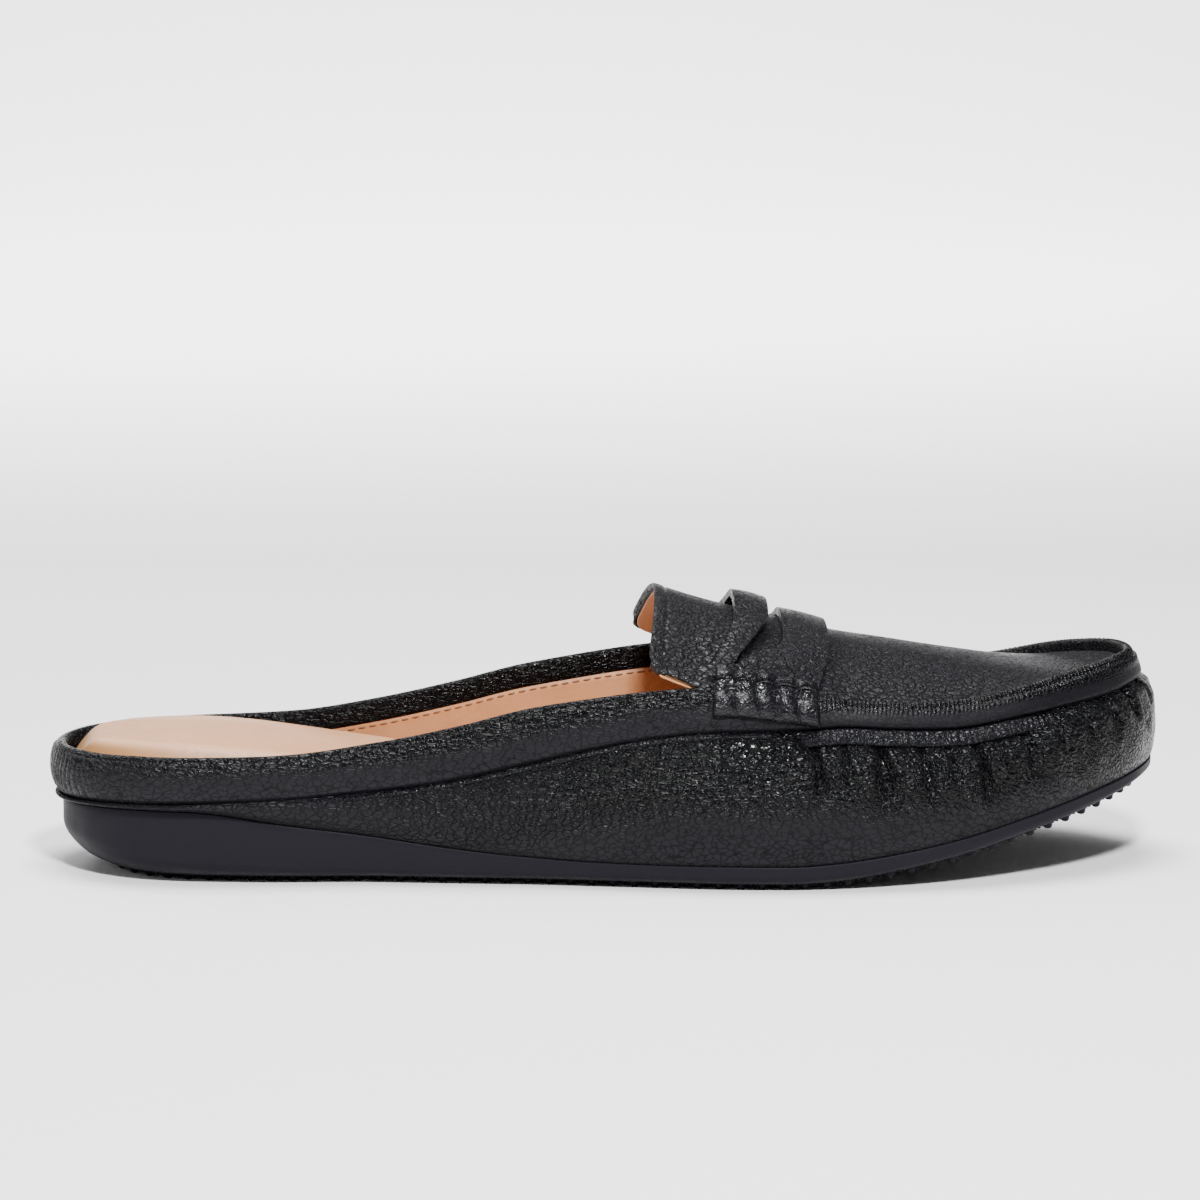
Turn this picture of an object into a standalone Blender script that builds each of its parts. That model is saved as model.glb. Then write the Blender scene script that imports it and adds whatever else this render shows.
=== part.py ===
"""Backless penny moccasin, one right shoe: pebbled leather upper on a low rubber wedge.

Metres. +X points to the toe, +Y to the big toe's side, +Z up. The shoe is modelled with
x = 0 at the back of the sole, and at the end it is moved to stand centred on the origin.
"""
import math

import bmesh
import bpy
import numpy as np
from mathutils import Matrix, Vector

# Outsole sizes
SOLE_LENGTH = 0.2549
BALL_WIDTH = 0.086
HEEL_THICKNESS = 0.0170
FOREFOOT_THICKNESS = 0.0058
TOE_SPRING = 0.0192
TOE_SWING = 0.005
HEEL_END_RADIUS = 0.026
TOE_END_RADIUS = 0.026
STUD_HEIGHT = 0.0014
STUD_ROOT_RADIUS = 0.00125
STUD_TIP_RADIUS = 0.0009
STUD_PITCH = 0.0114
STUD_MARGIN = 0.0022
STUD_SIDES = 6

# Upper sizes
WALL_HEIGHT = 0.0404
INSTEP_HEIGHT = 0.0594
LEATHER_WALL = 0.0022
EDGE_RADIUS = 0.0012
SEAM_GROOVE = 0.0008
GROOVE_SHARE = 0.2
PLUG_THICKNESS = 0.0020
PLUG_INTO_RIM = 0.0008
TONGUE_BOW = 0.0028
TONGUE_CORNER = 0.0040

# Saddle strap and beef roll sizes
STRAP_WIDTH = 0.0226
STRAP_THICKNESS = 0.0018
STRAP_REAR_SWING = 0.0068
STRAP_FRONT_SWING = 0.0040
STRAP_LIFT = 0.0017
ROLL_THICKNESS = 0.0021
ROLL_DROP = 0.0064
ROLL_OVER_PLUG = 0.0006
ROLL_LOBES = 5
LOBE_DEPTH = 0.4
ROLL_SIDE = (0, 0.4, 0.8)
ROLL_TURNS = (25, 55, 85)
ROLL_FLAT = (0.5, 1)

# Footbed and fits
FOOTBED_HEIGHT = 0.0132
FOOTBED_CROWN = 0.0008
CROWN_WIDTH = 0.017
CROWN_ENDS = (0.03, 0.97)
FOOTBED_EDGE = 0.0016
FOOTBED_CLEARANCE = 0.0008
GAP = 0.0004

# Places along the sole, as shares of its length from the heel
TONGUE_START = 0.539
STRAP_START = 0.610
ROLL_START = 0.583
ROLL_END = 0.683

# How finely the curved pieces are cut
STATIONS = 76
SOLE_EDGE_STEPS = 3
WALL_STEPS = 5
BAND_STEPS = 3
RIM_STEPS = 4
PLUG_ROWS = 25
PLUG_COLUMNS = 14
STRAP_ROWS = 8
STRAP_COLUMNS = 18
ROLL_ROWS = 20

FIT_ROUNDS = 4

BELLY_LEVEL = 0.45
WELD = 0.00001


class Sections:
    """A short table with named columns, read between its rows by a cubic without overshoot."""

    def __init__(self, columns, *rows):
        names = columns.split()
        numbers = np.array(rows, dtype=float).T
        self.along = numbers[0]
        self.values = dict(zip(names[1:], numbers[1:]))
        self.slopes = {name: self.find_slopes(column) for name, column in self.values.items()}

    def find_slopes(self, column):
        """Slope at each row: zero at a turning point, else the harmonic mean of both sides."""
        rises = np.diff(column) / np.diff(self.along)
        slopes = np.zeros(len(column))
        slopes[0], slopes[-1] = rises[0], rises[-1]
        for k in range(1, len(rises)):
            if rises[k - 1] * rises[k] > 0:
                slopes[k] = 2 / (1 / rises[k - 1] + 1 / rises[k])
        return slopes

    def at(self, name, along):
        """The column's value at a place, held level beyond the first and last row."""
        along = min(max(along, self.along[0]), self.along[-1])
        k = int(np.searchsorted(self.along[1:-1], along, side="right"))
        width = self.along[k + 1] - self.along[k]
        u = (along - self.along[k]) / width
        column, slopes = self.values[name], self.slopes[name]
        value = (column[k] * (1 + 2 * u) * (1 - u) ** 2
                 + column[k + 1] * u ** 2 * (3 - 2 * u)
                 + slopes[k] * width * u * (1 - u) ** 2
                 - slopes[k + 1] * width * u ** 2 * (1 - u))
        return float(value)


# Half widths of the sole on either side of its centre line, in shares of BALL_WIDTH
OUTLINE = Sections(
    "along  outer  inner",
    (0.09, 0.314, 0.314),
    (0.17, 0.343, 0.343),
    (0.29, 0.349, 0.320),
    (0.41, 0.390, 0.314),
    (0.50, 0.436, 0.349),
    (0.60, 0.491, 0.422),
    (0.66, 0.506, 0.465),
    (0.73, 0.501, 0.488),
    (0.80, 0.474, 0.473),
    (0.87, 0.415, 0.422),
    (0.93, 0.328, 0.323),
    (0.97, 0.226, 0.205),
)

# Side view of the sole: the tread's lift in shares of TOE_SPRING, and how much of the heel's
# extra thickness is left
SIDE_VIEW = Sections(
    "along  lift   wedge",
    (0.00, 0.149, 0.680),
    (0.03, 0.050, 0.890),
    (0.07, 0.007, 0.990),
    (0.11, 0.000, 1.000),
    (0.21, 0.000, 0.700),
    (0.29, 0.000, 0.455),
    (0.36, 0.000, 0.232),
    (0.42, 0.000, 0.098),
    (0.475, 0.000, 0.027),
    (0.54, 0.000, 0.000),
    (0.655, 0.000, 0.000),
    (0.695, 0.031, 0.000),
    (0.755, 0.152, -0.027),
    (0.815, 0.314, -0.045),
    (0.865, 0.488, -0.054),
    (0.92, 0.686, -0.060),
    (0.96, 0.837, -0.089),
    (1.00, 1.000, -0.143),
)

# Rounding of the sole's lower edge: inset in shares of BALL_WIDTH, rise in shares of the
# sole's own thickness there
EDGE_ROUNDING = Sections(
    "along  inset  rise",
    (0.00, 0.125, 0.55),
    (0.10, 0.075, 0.33),
    (0.25, 0.048, 0.26),
    (0.60, 0.036, 0.55),
    (0.80, 0.032, 0.50),
    (0.93, 0.032, 0.45),
    (1.00, 0.036, 0.42),
)

# Seam between the lower panel and the band or apron roll, the rim above it, and how much
# higher the rim runs on the inner side: over the sole's top, in shares of WALL_HEIGHT
LEVELS = Sections(
    "along  seam   rim    inner",
    (0.00, 0.035, 0.322, 0.000),
    (0.05, 0.037, 0.310, 0.000),
    (0.11, 0.047, 0.312, 0.000),
    (0.21, 0.161, 0.412, 0.010),
    (0.29, 0.275, 0.550, 0.025),
    (0.36, 0.408, 0.705, 0.030),
    (0.42, 0.532, 0.839, 0.030),
    (0.475, 0.636, 0.918, 0.030),
    (0.535, 0.718, 0.975, 0.030),
    (0.595, 0.752, 1.000, 0.025),
    (0.655, 0.755, 0.955, 0.015),
    (0.695, 0.752, 0.896, 0.000),
    (0.755, 0.683, 0.814, -0.015),
    (0.815, 0.606, 0.745, -0.030),
    (0.865, 0.569, 0.715, -0.035),
    (0.92, 0.525, 0.693, -0.015),
    (0.96, 0.495, 0.673, 0.000),
    (1.00, 0.490, 0.614, 0.000),
)

# How far the upper's outer face stands out from the sole's edge, in shares of BALL_WIDTH:
# the curve runs from the foot, pulled by the belly, to the seam, pulled by the band, to the rim
FACE = Sections(
    "along  foot    belly   seam    band    rim",
    (0.00, -0.007, 0.027, 0.011, 0.042, 0.016),
    (0.10, -0.007, 0.033, 0.017, 0.047, 0.012),
    (0.25, -0.007, 0.035, 0.014, 0.029, 0.000),
    (0.40, -0.009, 0.041, 0.003, 0.003, -0.021),
    (0.50, -0.012, 0.058, -0.021, -0.026, -0.047),
    (0.60, -0.012, 0.070, -0.052, -0.058, -0.081),
    (0.70, -0.012, 0.076, -0.081, -0.091, -0.110),
    (0.80, -0.012, 0.070, -0.076, -0.086, -0.107),
    (0.90, -0.012, 0.058, -0.056, -0.065, -0.086),
    (1.00, -0.009, 0.030, -0.028, -0.033, -0.053),
)

# Plug and tongue: the crest over the sole's top in shares of INSTEP_HEIGHT, the side edges
# over the rim in shares of WALL_HEIGHT, and the tongue's clearance to the rim in BALL_WIDTH
PLUG = Sections(
    "along  crest  edge    inset",
    (0.51, 1.040, 0.250, 0.014),
    (0.54, 1.000, 0.163, 0.012),
    (0.56, 0.971, 0.084, 0.010),
    (0.58, 0.943, 0.006, 0.002),
    (0.595, 0.924, -0.007, 0.000),
    (0.655, 0.854, -0.010, 0.000),
    (0.695, 0.798, -0.015, 0.000),
    (0.755, 0.717, -0.020, 0.000),
    (0.815, 0.623, -0.025, 0.000),
    (0.865, 0.534, -0.032, 0.000),
    (0.92, 0.458, -0.045, 0.000),
    (0.96, 0.419, -0.054, 0.000),
    (1.00, 0.380, -0.057, 0.000),
)

# The strap's slot from its middle to its end: both edges in shares of the strap's width
SLOT = Sections(
    "across rear   front",
    (0.00, 0.355, 0.505),
    (0.42, 0.345, 0.517),
    (0.58, 0.270, 0.524),
    (0.72, 0.210, 0.490),
    (0.80, 0.180, 0.340),
    (0.86, 0.160, 0.240),
    (0.92, 0.150, 0.180),
)

# The footbed's top over the sole's top, in shares of FOOTBED_HEIGHT
FOOTBED = Sections(
    "along  height",
    (0.00, 0.980),
    (0.05, 1.000),
    (0.12, 1.000),
    (0.21, 1.140),
    (0.29, 1.140),
    (0.40, 0.880),
    (0.50, 0.570),
    (0.60, 0.370),
    (0.70, 0.340),
    (1.00, 0.330),
)


def along_at(x):
    """Share of the sole's length at x, held at the ends."""
    return min(max(x / SOLE_LENGTH, 0.0), 1.0)


def tread(x):
    """Height of the stud tips."""
    return TOE_SPRING * SIDE_VIEW.at("lift", along_at(x))


def sole_top(x):
    """Height of the edge where the upper meets the sole."""
    extra = (HEEL_THICKNESS - FOREFOOT_THICKNESS) * SIDE_VIEW.at("wedge", along_at(x))
    return tread(x) + FOREFOOT_THICKNESS + extra


def make_fullness(side):
    """Half width over the half width of an ellipse, which stays finite at the round ends."""
    half_widths = OUTLINE.values[side] * BALL_WIDTH
    full = half_widths / (2 * np.sqrt(OUTLINE.along * (1 - OUTLINE.along)))
    inner_rows = list(zip(OUTLINE.along, full))
    heel = (0.0, math.sqrt(HEEL_END_RADIUS * SOLE_LENGTH / 2))
    toe = (1.0, math.sqrt(TOE_END_RADIUS * SOLE_LENGTH / 2))
    return Sections("along full", heel, *inner_rows, toe)


FULLNESS = {"outer": make_fullness("outer"), "inner": make_fullness("inner")}


def centre_line(along):
    """Sideways swing of the sole's centre line, toward the big toe."""
    return TOE_SWING * max(0.0, 2 * along - 1) ** 2


def edge_place(around):
    """Point of the sole's edge: around is 0 at the heel, 1/4 outside, 1/2 at the toe."""
    turn = 2 * math.pi * around
    along = (1 - math.cos(turn)) / 2
    side = "outer" if math.sin(turn) >= 0 else "inner"
    across = centre_line(along) - math.sin(turn) * FULLNESS[side].at("full", along)
    return Vector((along * SOLE_LENGTH, across, 0))


class Station:
    """A cut through the shoe, square to the sole's edge."""

    def __init__(self, around):
        self.base = edge_place(around)
        step = edge_place(around + 0.0005) - edge_place(around - 0.0005)
        self.outward = Vector((step.y, -step.x, 0)).normalized()
        if self.outward.dot(self.base - Vector((SOLE_LENGTH / 2, 0, 0))) < 0:
            self.outward.negate()
        self.along = along_at(self.base.x)
        self.inner_share = max(0.0, -math.sin(2 * math.pi * around)) ** 2

    def place(self, offset):
        """Plan position at an offset outward from the sole's edge."""
        return self.base + offset * self.outward

    def heights(self, x):
        """Foot, seam and rim of the upper at x."""
        top = sole_top(x)
        seam = top + WALL_HEIGHT * LEVELS.at("seam", along_at(x))
        rim = top + WALL_HEIGHT * LEVELS.at("rim", along_at(x))
        lift = WALL_HEIGHT * LEVELS.at("inner", along_at(x)) * self.inner_share
        return top + GAP, seam, rim + lift

    def point(self, offset, level, rise=0.0):
        """Point at a level (0 foot, 1 seam, 2 rim), a little above it by rise."""
        place = self.place(offset)
        place.z = float(np.interp(level, (0, 1, 2), self.heights(place.x))) + rise
        return place

    def face(self, level):
        """Offset of the upper's outer face at a level."""
        lower = level <= 1
        names = ("foot", "belly", "seam") if lower else ("seam", "band", "rim")
        start, pull, end = (BALL_WIDTH * FACE.at(name, self.along) for name in names)
        u = belly_share(level) if lower else level - 1
        return start * (1 - u) ** 2 + 2 * pull * u * (1 - u) + end * u ** 2

    def inside(self, level):
        """Offset of the upper's inner face at a level, under the rim's round edge."""
        wall = self.face(level) - LEATHER_WALL
        last_band = 2 - 1 / BAND_STEPS
        return wall if level < last_band else min(wall, self.face(2) - 2 * EDGE_RADIUS)

    def groove(self):
        """Half width of the seam's groove, narrower where the lower panel tapers off."""
        foot, seam, _ = self.heights(self.base.x)
        return min(SEAM_GROOVE, GROOVE_SHARE * (seam - foot))


def belly_share(level):
    """Curve parameter at a level of the lower panel, whose pull sits at BELLY_LEVEL."""
    spread = 1 - 2 * BELLY_LEVEL
    return (math.sqrt(BELLY_LEVEL ** 2 + spread * level) - BELLY_LEVEL) / spread


def belly_level(u):
    """Level of the lower panel at a curve parameter."""
    return 2 * BELLY_LEVEL * u * (1 - u) + u ** 2


STATION_RING = [Station(i / STATIONS) for i in range(STATIONS)]


class RingLine:
    """A line that runs round the shoe at its own offset from the sole's edge."""

    def __init__(self, offset_at):
        places = [station.place(offset_at(station)) for station in STATION_RING]
        half = STATIONS // 2
        self.sides = (places[:half + 1], [places[-i % STATIONS] for i in range(half + 1)])
        self.heel, self.toe = places[0].x, places[half].x

    def across(self, x):
        """Outer and inner y at x."""
        return [float(np.interp(x, [p.x for p in side], [p.y for p in side]))
                for side in self.sides]


def move_grid(name, across, down, place):
    """A mesh from a grid of across by down faces, each corner moved to place(i, j)."""
    mesh = bpy.data.meshes.new(name)
    bm = bmesh.new()
    bmesh.ops.create_grid(bm, x_segments=across, y_segments=down, size=0.5)
    for vertex in bm.verts:
        i = round((vertex.co.x + 0.5) * across)
        j = round((vertex.co.y + 0.5) * down)
        vertex.co = place(i, j)
    bmesh.ops.remove_doubles(bm, verts=bm.verts[:], dist=WELD)
    return mesh, bm


def finish_mesh(mesh, bm, closed):
    """Write the bmesh back, with a closed body's faces turned outward."""
    if closed:
        bmesh.ops.recalc_face_normals(bm, faces=bm.faces[:])
    bm.to_mesh(mesh)
    bm.free()
    return mesh


def add_part(name, mesh, material, collection):
    """A named object in the collection, smooth except at sharp edges."""
    part = bpy.data.objects.new(name, mesh)
    mesh.materials.append(material)
    mesh.shade_smooth()
    mesh.set_sharp_from_angle(angle=math.radians(35))
    collection.objects.link(part)
    return part


def add_cutter(name, mesh, collection):
    """A helper shape that is not itself part of the shoe."""
    cutter = bpy.data.objects.new(name, mesh)
    cutter.hide_render = True
    cutter.display_type = "WIRE"
    collection.objects.link(cutter)
    return cutter


def add_solidify(part, thickness, offset):
    """Thickness for an open surface: offset -1 grows below it, 1 above it."""
    solidify = part.modifiers.new("Thickness", "SOLIDIFY")
    solidify.thickness = thickness
    solidify.offset = offset
    solidify.use_even_offset = True


def add_boolean(part, operation, other):
    """A cut or a joint with another closed shape."""
    boolean = part.modifiers.new(operation.title(), "BOOLEAN")
    boolean.operation = operation
    boolean.solver = "EXACT"
    boolean.object = other


def make_material(name, colour, roughness):
    """A plain surface of one colour."""
    material = bpy.data.materials.new(name)
    material.use_nodes = True
    shader = material.node_tree.nodes["Principled BSDF"]
    shader.inputs["Base Color"].default_value = (*colour, 1)
    shader.inputs["Roughness"].default_value = roughness
    return material


def stacked_rings(name, ring_point, rings):
    """A closed body from rings round the shoe, capped by a seam down the middle at both ends.

    ring_point(station, ring) gives each ring's point; the seam lies halfway between the
    points of the outer and the inner side.
    """
    points = [[ring_point(station, ring) for ring in range(rings)] for station in STATION_RING]

    def place(i, j):
        i %= STATIONS
        if 0 < j <= rings:
            return points[i][j - 1]
        ring = 0 if j == 0 else rings - 1
        return (points[i][ring] + points[-i % STATIONS][ring]) / 2

    return move_grid(name, STATIONS, rings + 1, place)


def sole_point(station, ring):
    """Outsole ring: the rounded lower edge in steps, then the top edge."""
    if ring > SOLE_EDGE_STEPS:
        place = station.place(0)
        place.z = sole_top(place.x)
        return place
    turn = math.pi / 2 * ring / SOLE_EDGE_STEPS
    inset = BALL_WIDTH * EDGE_ROUNDING.at("inset", station.along)
    place = station.place(-inset * (1 - math.sin(turn)))
    bottom = tread(place.x) + STUD_HEIGHT
    rise = EDGE_ROUNDING.at("rise", station.along) * (sole_top(place.x) - bottom)
    place.z = bottom + rise * (1 - math.cos(turn))
    return place


def stud_places():
    """Rows of studs, every other row shifted by half a pitch, inside the rounded edge."""
    field = RingLine(
        lambda station: -BALL_WIDTH * EDGE_ROUNDING.at("inset", station.along) - STUD_MARGIN)
    rows = int((field.toe - field.heel) / STUD_PITCH)
    start = (field.heel + field.toe - rows * STUD_PITCH) / 2
    for row in range(rows + 1):
        x = start + row * STUD_PITCH
        outer, inner = field.across(x)
        shift = STUD_PITCH / 2 * (row % 2)
        for column in range(math.ceil((outer - shift) / STUD_PITCH),
                            math.floor((inner - shift) / STUD_PITCH) + 1):
            yield x, column * STUD_PITCH + shift


def make_studs():
    """All studs as one mesh: short tapered pegs that reach down from inside the sole."""
    root = (FOREFOOT_THICKNESS - STUD_HEIGHT) / 3
    length = STUD_HEIGHT + root
    taper = (STUD_ROOT_RADIUS - STUD_TIP_RADIUS) * root / STUD_HEIGHT
    mesh = bpy.data.meshes.new("studs")
    bm = bmesh.new()
    for x, y in stud_places():
        bmesh.ops.create_cone(
            bm, cap_ends=True, segments=STUD_SIDES, radius1=STUD_TIP_RADIUS,
            radius2=STUD_ROOT_RADIUS + taper, depth=length,
            matrix=Matrix.Translation((x, y, tread(x) + length / 2)))
    return finish_mesh(mesh, bm, closed=True)


def make_outsole(material, parts, cutters):
    """Rubber wedge with a rounded edge, and its studs joined on."""
    mesh, bm = stacked_rings("outsole", sole_point, SOLE_EDGE_STEPS + 2)
    outsole = add_part("outsole", finish_mesh(mesh, bm, closed=True), material, parts)
    add_boolean(outsole, "UNION", add_cutter("stud_field", make_studs(), cutters))


def upper_section(station):
    """Closed cut through the upper's wall: up the outer face, over the rim, down inside."""
    lower = [k / WALL_STEPS for k in range(WALL_STEPS + 1)]
    levels = [belly_level(u) for u in lower]
    groove = station.groove()
    seam = station.face(1)
    rim = station.face(2)
    outer = [station.point(station.face(level), level) for level in levels[:-1]]
    outer.append(station.point(seam, 1, -groove))
    outer.append(station.point(seam - groove, 1))
    outer.append(station.point(seam, 1, groove))
    band = [1 + k / BAND_STEPS for k in range(1, BAND_STEPS)]
    outer += [station.point(station.face(level), level) for level in band]
    over = []
    for k in range(RIM_STEPS + 1):
        turn = math.pi * k / RIM_STEPS
        offset = rim - EDGE_RADIUS + EDGE_RADIUS * math.cos(turn)
        over.append(station.point(offset, 2, EDGE_RADIUS * (math.sin(turn) - 1)))
    inside = [station.point(station.inside(level), level) for level in reversed(levels + band[:-1])]
    inside.insert(0, station.point(station.face(band[-1]) - LEATHER_WALL, band[-1]))
    return outer + over + inside


# The line where the plug's edge is sewn into the rim
RIM_LINE = RingLine(lambda station: station.face(2) - PLUG_INTO_RIM)


def plug_span(x):
    """Middle and half width of the plug at x."""
    outer, inner = RIM_LINE.across(x)
    inset = BALL_WIDTH * PLUG.at("inset", along_at(x))
    return (outer + inner) / 2, (inner - outer) / 2 - inset


def plug_point(x, across, rise=0.0):
    """Point on top of the plug or tongue: across runs from -1 outside to 1 inside."""
    along = along_at(x)
    middle, half = plug_span(x)
    top = sole_top(x)
    crest = top + INSTEP_HEIGHT * PLUG.at("crest", along)
    rim = top + WALL_HEIGHT * (LEVELS.at("rim", along) + PLUG.at("edge", along))
    edge = rim + WALL_HEIGHT * LEVELS.at("inner", along) * max(0.0, across) ** 2
    return Vector((x, middle + across * half, crest + (edge - crest) * across ** 2 + rise))


def plug_height(place):
    """Height of the plug's top at a plan position."""
    middle, half = plug_span(place.x)
    return plug_point(place.x, min(1, max(-1, (place.y - middle) / half))).z


def make_plug():
    """Open surface of the vamp's plug and its free tongue, from the throat to the toe."""
    def place(i, j):
        across = 2 * j / PLUG_COLUMNS - 1
        start = TONGUE_START * SOLE_LENGTH - TONGUE_BOW * across ** 2 + TONGUE_CORNER * across ** 16
        row = i / PLUG_ROWS
        forward = (row + math.sin(math.pi / 2 * row)) / 2
        return plug_point(start + (RIM_LINE.toe - start) * forward, across)

    return move_grid("plug", PLUG_ROWS, PLUG_COLUMNS, place)


def make_upper(material, parts, cutters):
    """One hollow solid: the wall all round, with the plug and tongue joined into its rim."""
    sections = [upper_section(station) for station in STATION_RING]
    turns = len(sections[0])
    mesh, bm = move_grid("upper", STATIONS, turns,
                         lambda i, j: sections[i % STATIONS][j % turns])
    upper = add_part("upper", finish_mesh(mesh, bm, closed=True), material, parts)
    plug = add_cutter("plug_and_tongue", finish_mesh(*make_plug(), closed=False), cutters)
    add_solidify(plug, PLUG_THICKNESS, -1)
    add_boolean(upper, "UNION", plug)


def footbed_top(x):
    """Height of the footbed's top along its edge."""
    return sole_top(x) + FOOTBED_HEIGHT * FOOTBED.at("height", along_at(x))


def footbed_point(station, ring):
    """Footbed ring: foot, half height and shoulder against the wall, then the top's edge."""
    share, drop = ((0, 0), (0.5, 0), (1, FOOTBED_EDGE), (1, 0))[ring]
    level = 0.0
    for _ in range(FIT_ROUNDS):
        place = station.place(station.inside(level) - FOOTBED_CLEARANCE)
        heights = station.heights(place.x)
        place.z = heights[0] + share * (footbed_top(place.x) - heights[0]) - drop
        level = float(np.interp(place.z, heights, (0, 1, 2)))
    if drop or share < 1:
        return place
    soft = station.place(station.inside(level) - FOOTBED_CLEARANCE - FOOTBED_EDGE)
    soft.z = footbed_top(soft.x)
    return soft


def make_footbed(material, parts):
    """Leather-covered wedge that fills the upper down to the sole."""
    mesh, bm = stacked_rings("insole", footbed_point, 4)
    for vertex in bm.verts:
        along = along_at(vertex.co.x)
        in_middle = abs(vertex.co.y - centre_line(along)) < CROWN_WIDTH / 2
        on_top = vertex.co.z > footbed_top(vertex.co.x) - GAP
        if in_middle and on_top and CROWN_ENDS[0] < along < CROWN_ENDS[1]:
            vertex.co.z += FOOTBED_CROWN
    add_part("insole", finish_mesh(mesh, bm, closed=True), material, parts)


def strap_reach(x):
    """How far across the plug the strap runs before the beef roll, as a share."""
    middle, half = plug_span(x)
    taken = 2 * EDGE_RADIUS + ROLL_OVER_PLUG - PLUG_INTO_RIM + GAP
    return 1 - taken / half


def strap_point(width_share, reach_share, rise=0.0):
    """Point under the strap, whose ends swing back along the shoe."""
    swing = reach_share ** 4
    rear = STRAP_START * SOLE_LENGTH - STRAP_REAR_SWING * swing
    front = STRAP_START * SOLE_LENGTH + STRAP_WIDTH - STRAP_FRONT_SWING * swing
    x = rear + (front - rear) * width_share
    slot_rear, slot_front = (SLOT.at(name, abs(reach_share)) for name in ("rear", "front"))
    over_bar = np.interp(width_share, (slot_rear, slot_front), (1.0, 0.0))
    bowed = float(over_bar) * (1 - reach_share ** 2)
    return plug_point(x, reach_share * strap_reach(x), GAP + STRAP_LIFT * bowed + rise)


def make_strap(material, parts, cutters):
    """Saddle strap over the plug, with a slot that leaves a raised rear bar."""
    mesh, bm = move_grid(
        "saddle_strap", STRAP_ROWS, STRAP_COLUMNS,
        lambda i, j: strap_point(i / STRAP_ROWS, 2 * j / STRAP_COLUMNS - 1))
    strap = add_part("saddle_strap", finish_mesh(mesh, bm, closed=False), material, parts)
    add_solidify(strap, STRAP_THICKNESS, 1)

    slot_end = SLOT.along[-1]

    def slot_place(i, j):
        across = slot_end * (2 * j / STRAP_COLUMNS - 1)
        edge = SLOT.at("front" if i else "rear", abs(across))
        return strap_point(edge, across, STRAP_THICKNESS / 2)

    mesh, bm = move_grid("slot", 1, STRAP_COLUMNS, slot_place)
    slot = add_cutter("strap_slot", finish_mesh(mesh, bm, closed=False), cutters)
    add_solidify(slot, 4 * STRAP_THICKNESS, 0)
    add_boolean(strap, "DIFFERENCE", slot)


def roll_section(station, thickness):
    """Closed cut through a beef roll that hugs the rim: inner skin, then outer skin back."""
    rim = station.face(2)
    heights = station.heights(station.place(rim).x)
    rim_z = heights[2]
    lowest = float(np.interp(rim_z - ROLL_DROP, heights, (0, 1, 2)))
    skin = []
    for share in ROLL_SIDE:
        level = lowest + share * (2 - lowest)
        height = station.point(0, level).z
        skin.append(Vector((station.face(level) + GAP, height)))
    reach = EDGE_RADIUS + GAP
    for turn in map(math.radians, ROLL_TURNS):
        offset = rim - EDGE_RADIUS + reach * math.cos(turn)
        height = rim_z - EDGE_RADIUS + reach * math.sin(turn)
        skin.append(Vector((offset, max(height, plug_height(station.place(offset)) + GAP))))
    for share in ROLL_FLAT:
        offset = rim - EDGE_RADIUS - share * (EDGE_RADIUS + ROLL_OVER_PLUG)
        skin.append(Vector((offset, plug_height(station.place(offset)) + GAP)))
    outside = []
    for k, point in enumerate(skin):
        before, after = skin[max(k - 1, 0)], skin[min(k + 1, len(skin) - 1)]
        course = (after - before).normalized()
        outside.append(point + thickness * Vector((course.y, -course.x)))
    section = []
    for flat in skin + outside[::-1]:
        place = station.place(flat.x)
        place.z = flat.y
        section.append(place)
    return section


def make_roll(name, outer, material, parts):
    """Beef roll: whipped lobes along the rim at one end of the strap."""
    sections = []
    for row in range(ROLL_ROWS + 1):
        share = row / ROLL_ROWS
        along = ROLL_START + (ROLL_END - ROLL_START) * share
        around = math.acos(1 - 2 * along) / (2 * math.pi)
        lobe = abs(math.sin(math.pi * ROLL_LOBES * share))
        station = Station(around if outer else 1 - around)
        sections.append(roll_section(station, ROLL_THICKNESS * (1 - LOBE_DEPTH + LOBE_DEPTH * lobe)))
    turns = len(sections[0])
    mesh, bm = move_grid(name, ROLL_ROWS, turns, lambda i, j: sections[i][j % turns])
    open_edges = [edge for edge in bm.edges if edge.is_boundary]
    bmesh.ops.holes_fill(bm, edges=open_edges, sides=0)
    add_part(name, finish_mesh(mesh, bm, closed=True), material, parts)


def stand_on_origin(objects):
    """Move every mesh so that the shoe stands on z = 0, centred over the origin."""
    bpy.context.view_layer.update()
    graph = bpy.context.evaluated_depsgraph_get()
    corners = []
    for item in objects:
        if not item.hide_render:
            corners += [Vector(corner) for corner in item.evaluated_get(graph).bound_box]
    low = Vector([min(corner[axis] for corner in corners) for axis in range(3)])
    high = Vector([max(corner[axis] for corner in corners) for axis in range(3)])
    shift = Matrix.Translation((-(low.x + high.x) / 2, -(low.y + high.y) / 2, -low.z))
    for item in objects:
        item.data.transform(shift)


def main():
    """Build the whole shoe."""
    for item in list(bpy.data.objects):
        bpy.data.objects.remove(item, do_unlink=True)
    parts = bpy.data.collections.new("penny_moccasin")
    cutters = bpy.data.collections.new("cutters")
    for collection in (parts, cutters):
        bpy.context.scene.collection.children.link(collection)

    leather = make_material("black_leather", (0.022, 0.022, 0.026), 0.42)
    rubber = make_material("black_rubber", (0.027, 0.026, 0.031), 0.55)
    tan = make_material("tan_leather", (0.52, 0.32, 0.20), 0.5)

    make_outsole(rubber, parts, cutters)
    make_upper(leather, parts, cutters)
    make_footbed(tan, parts)
    make_strap(leather, parts, cutters)
    make_roll("beef_roll_lateral", True, leather, parts)
    make_roll("beef_roll_medial", False, leather, parts)
    stand_on_origin(list(parts.objects) + list(cutters.objects))


main()
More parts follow.
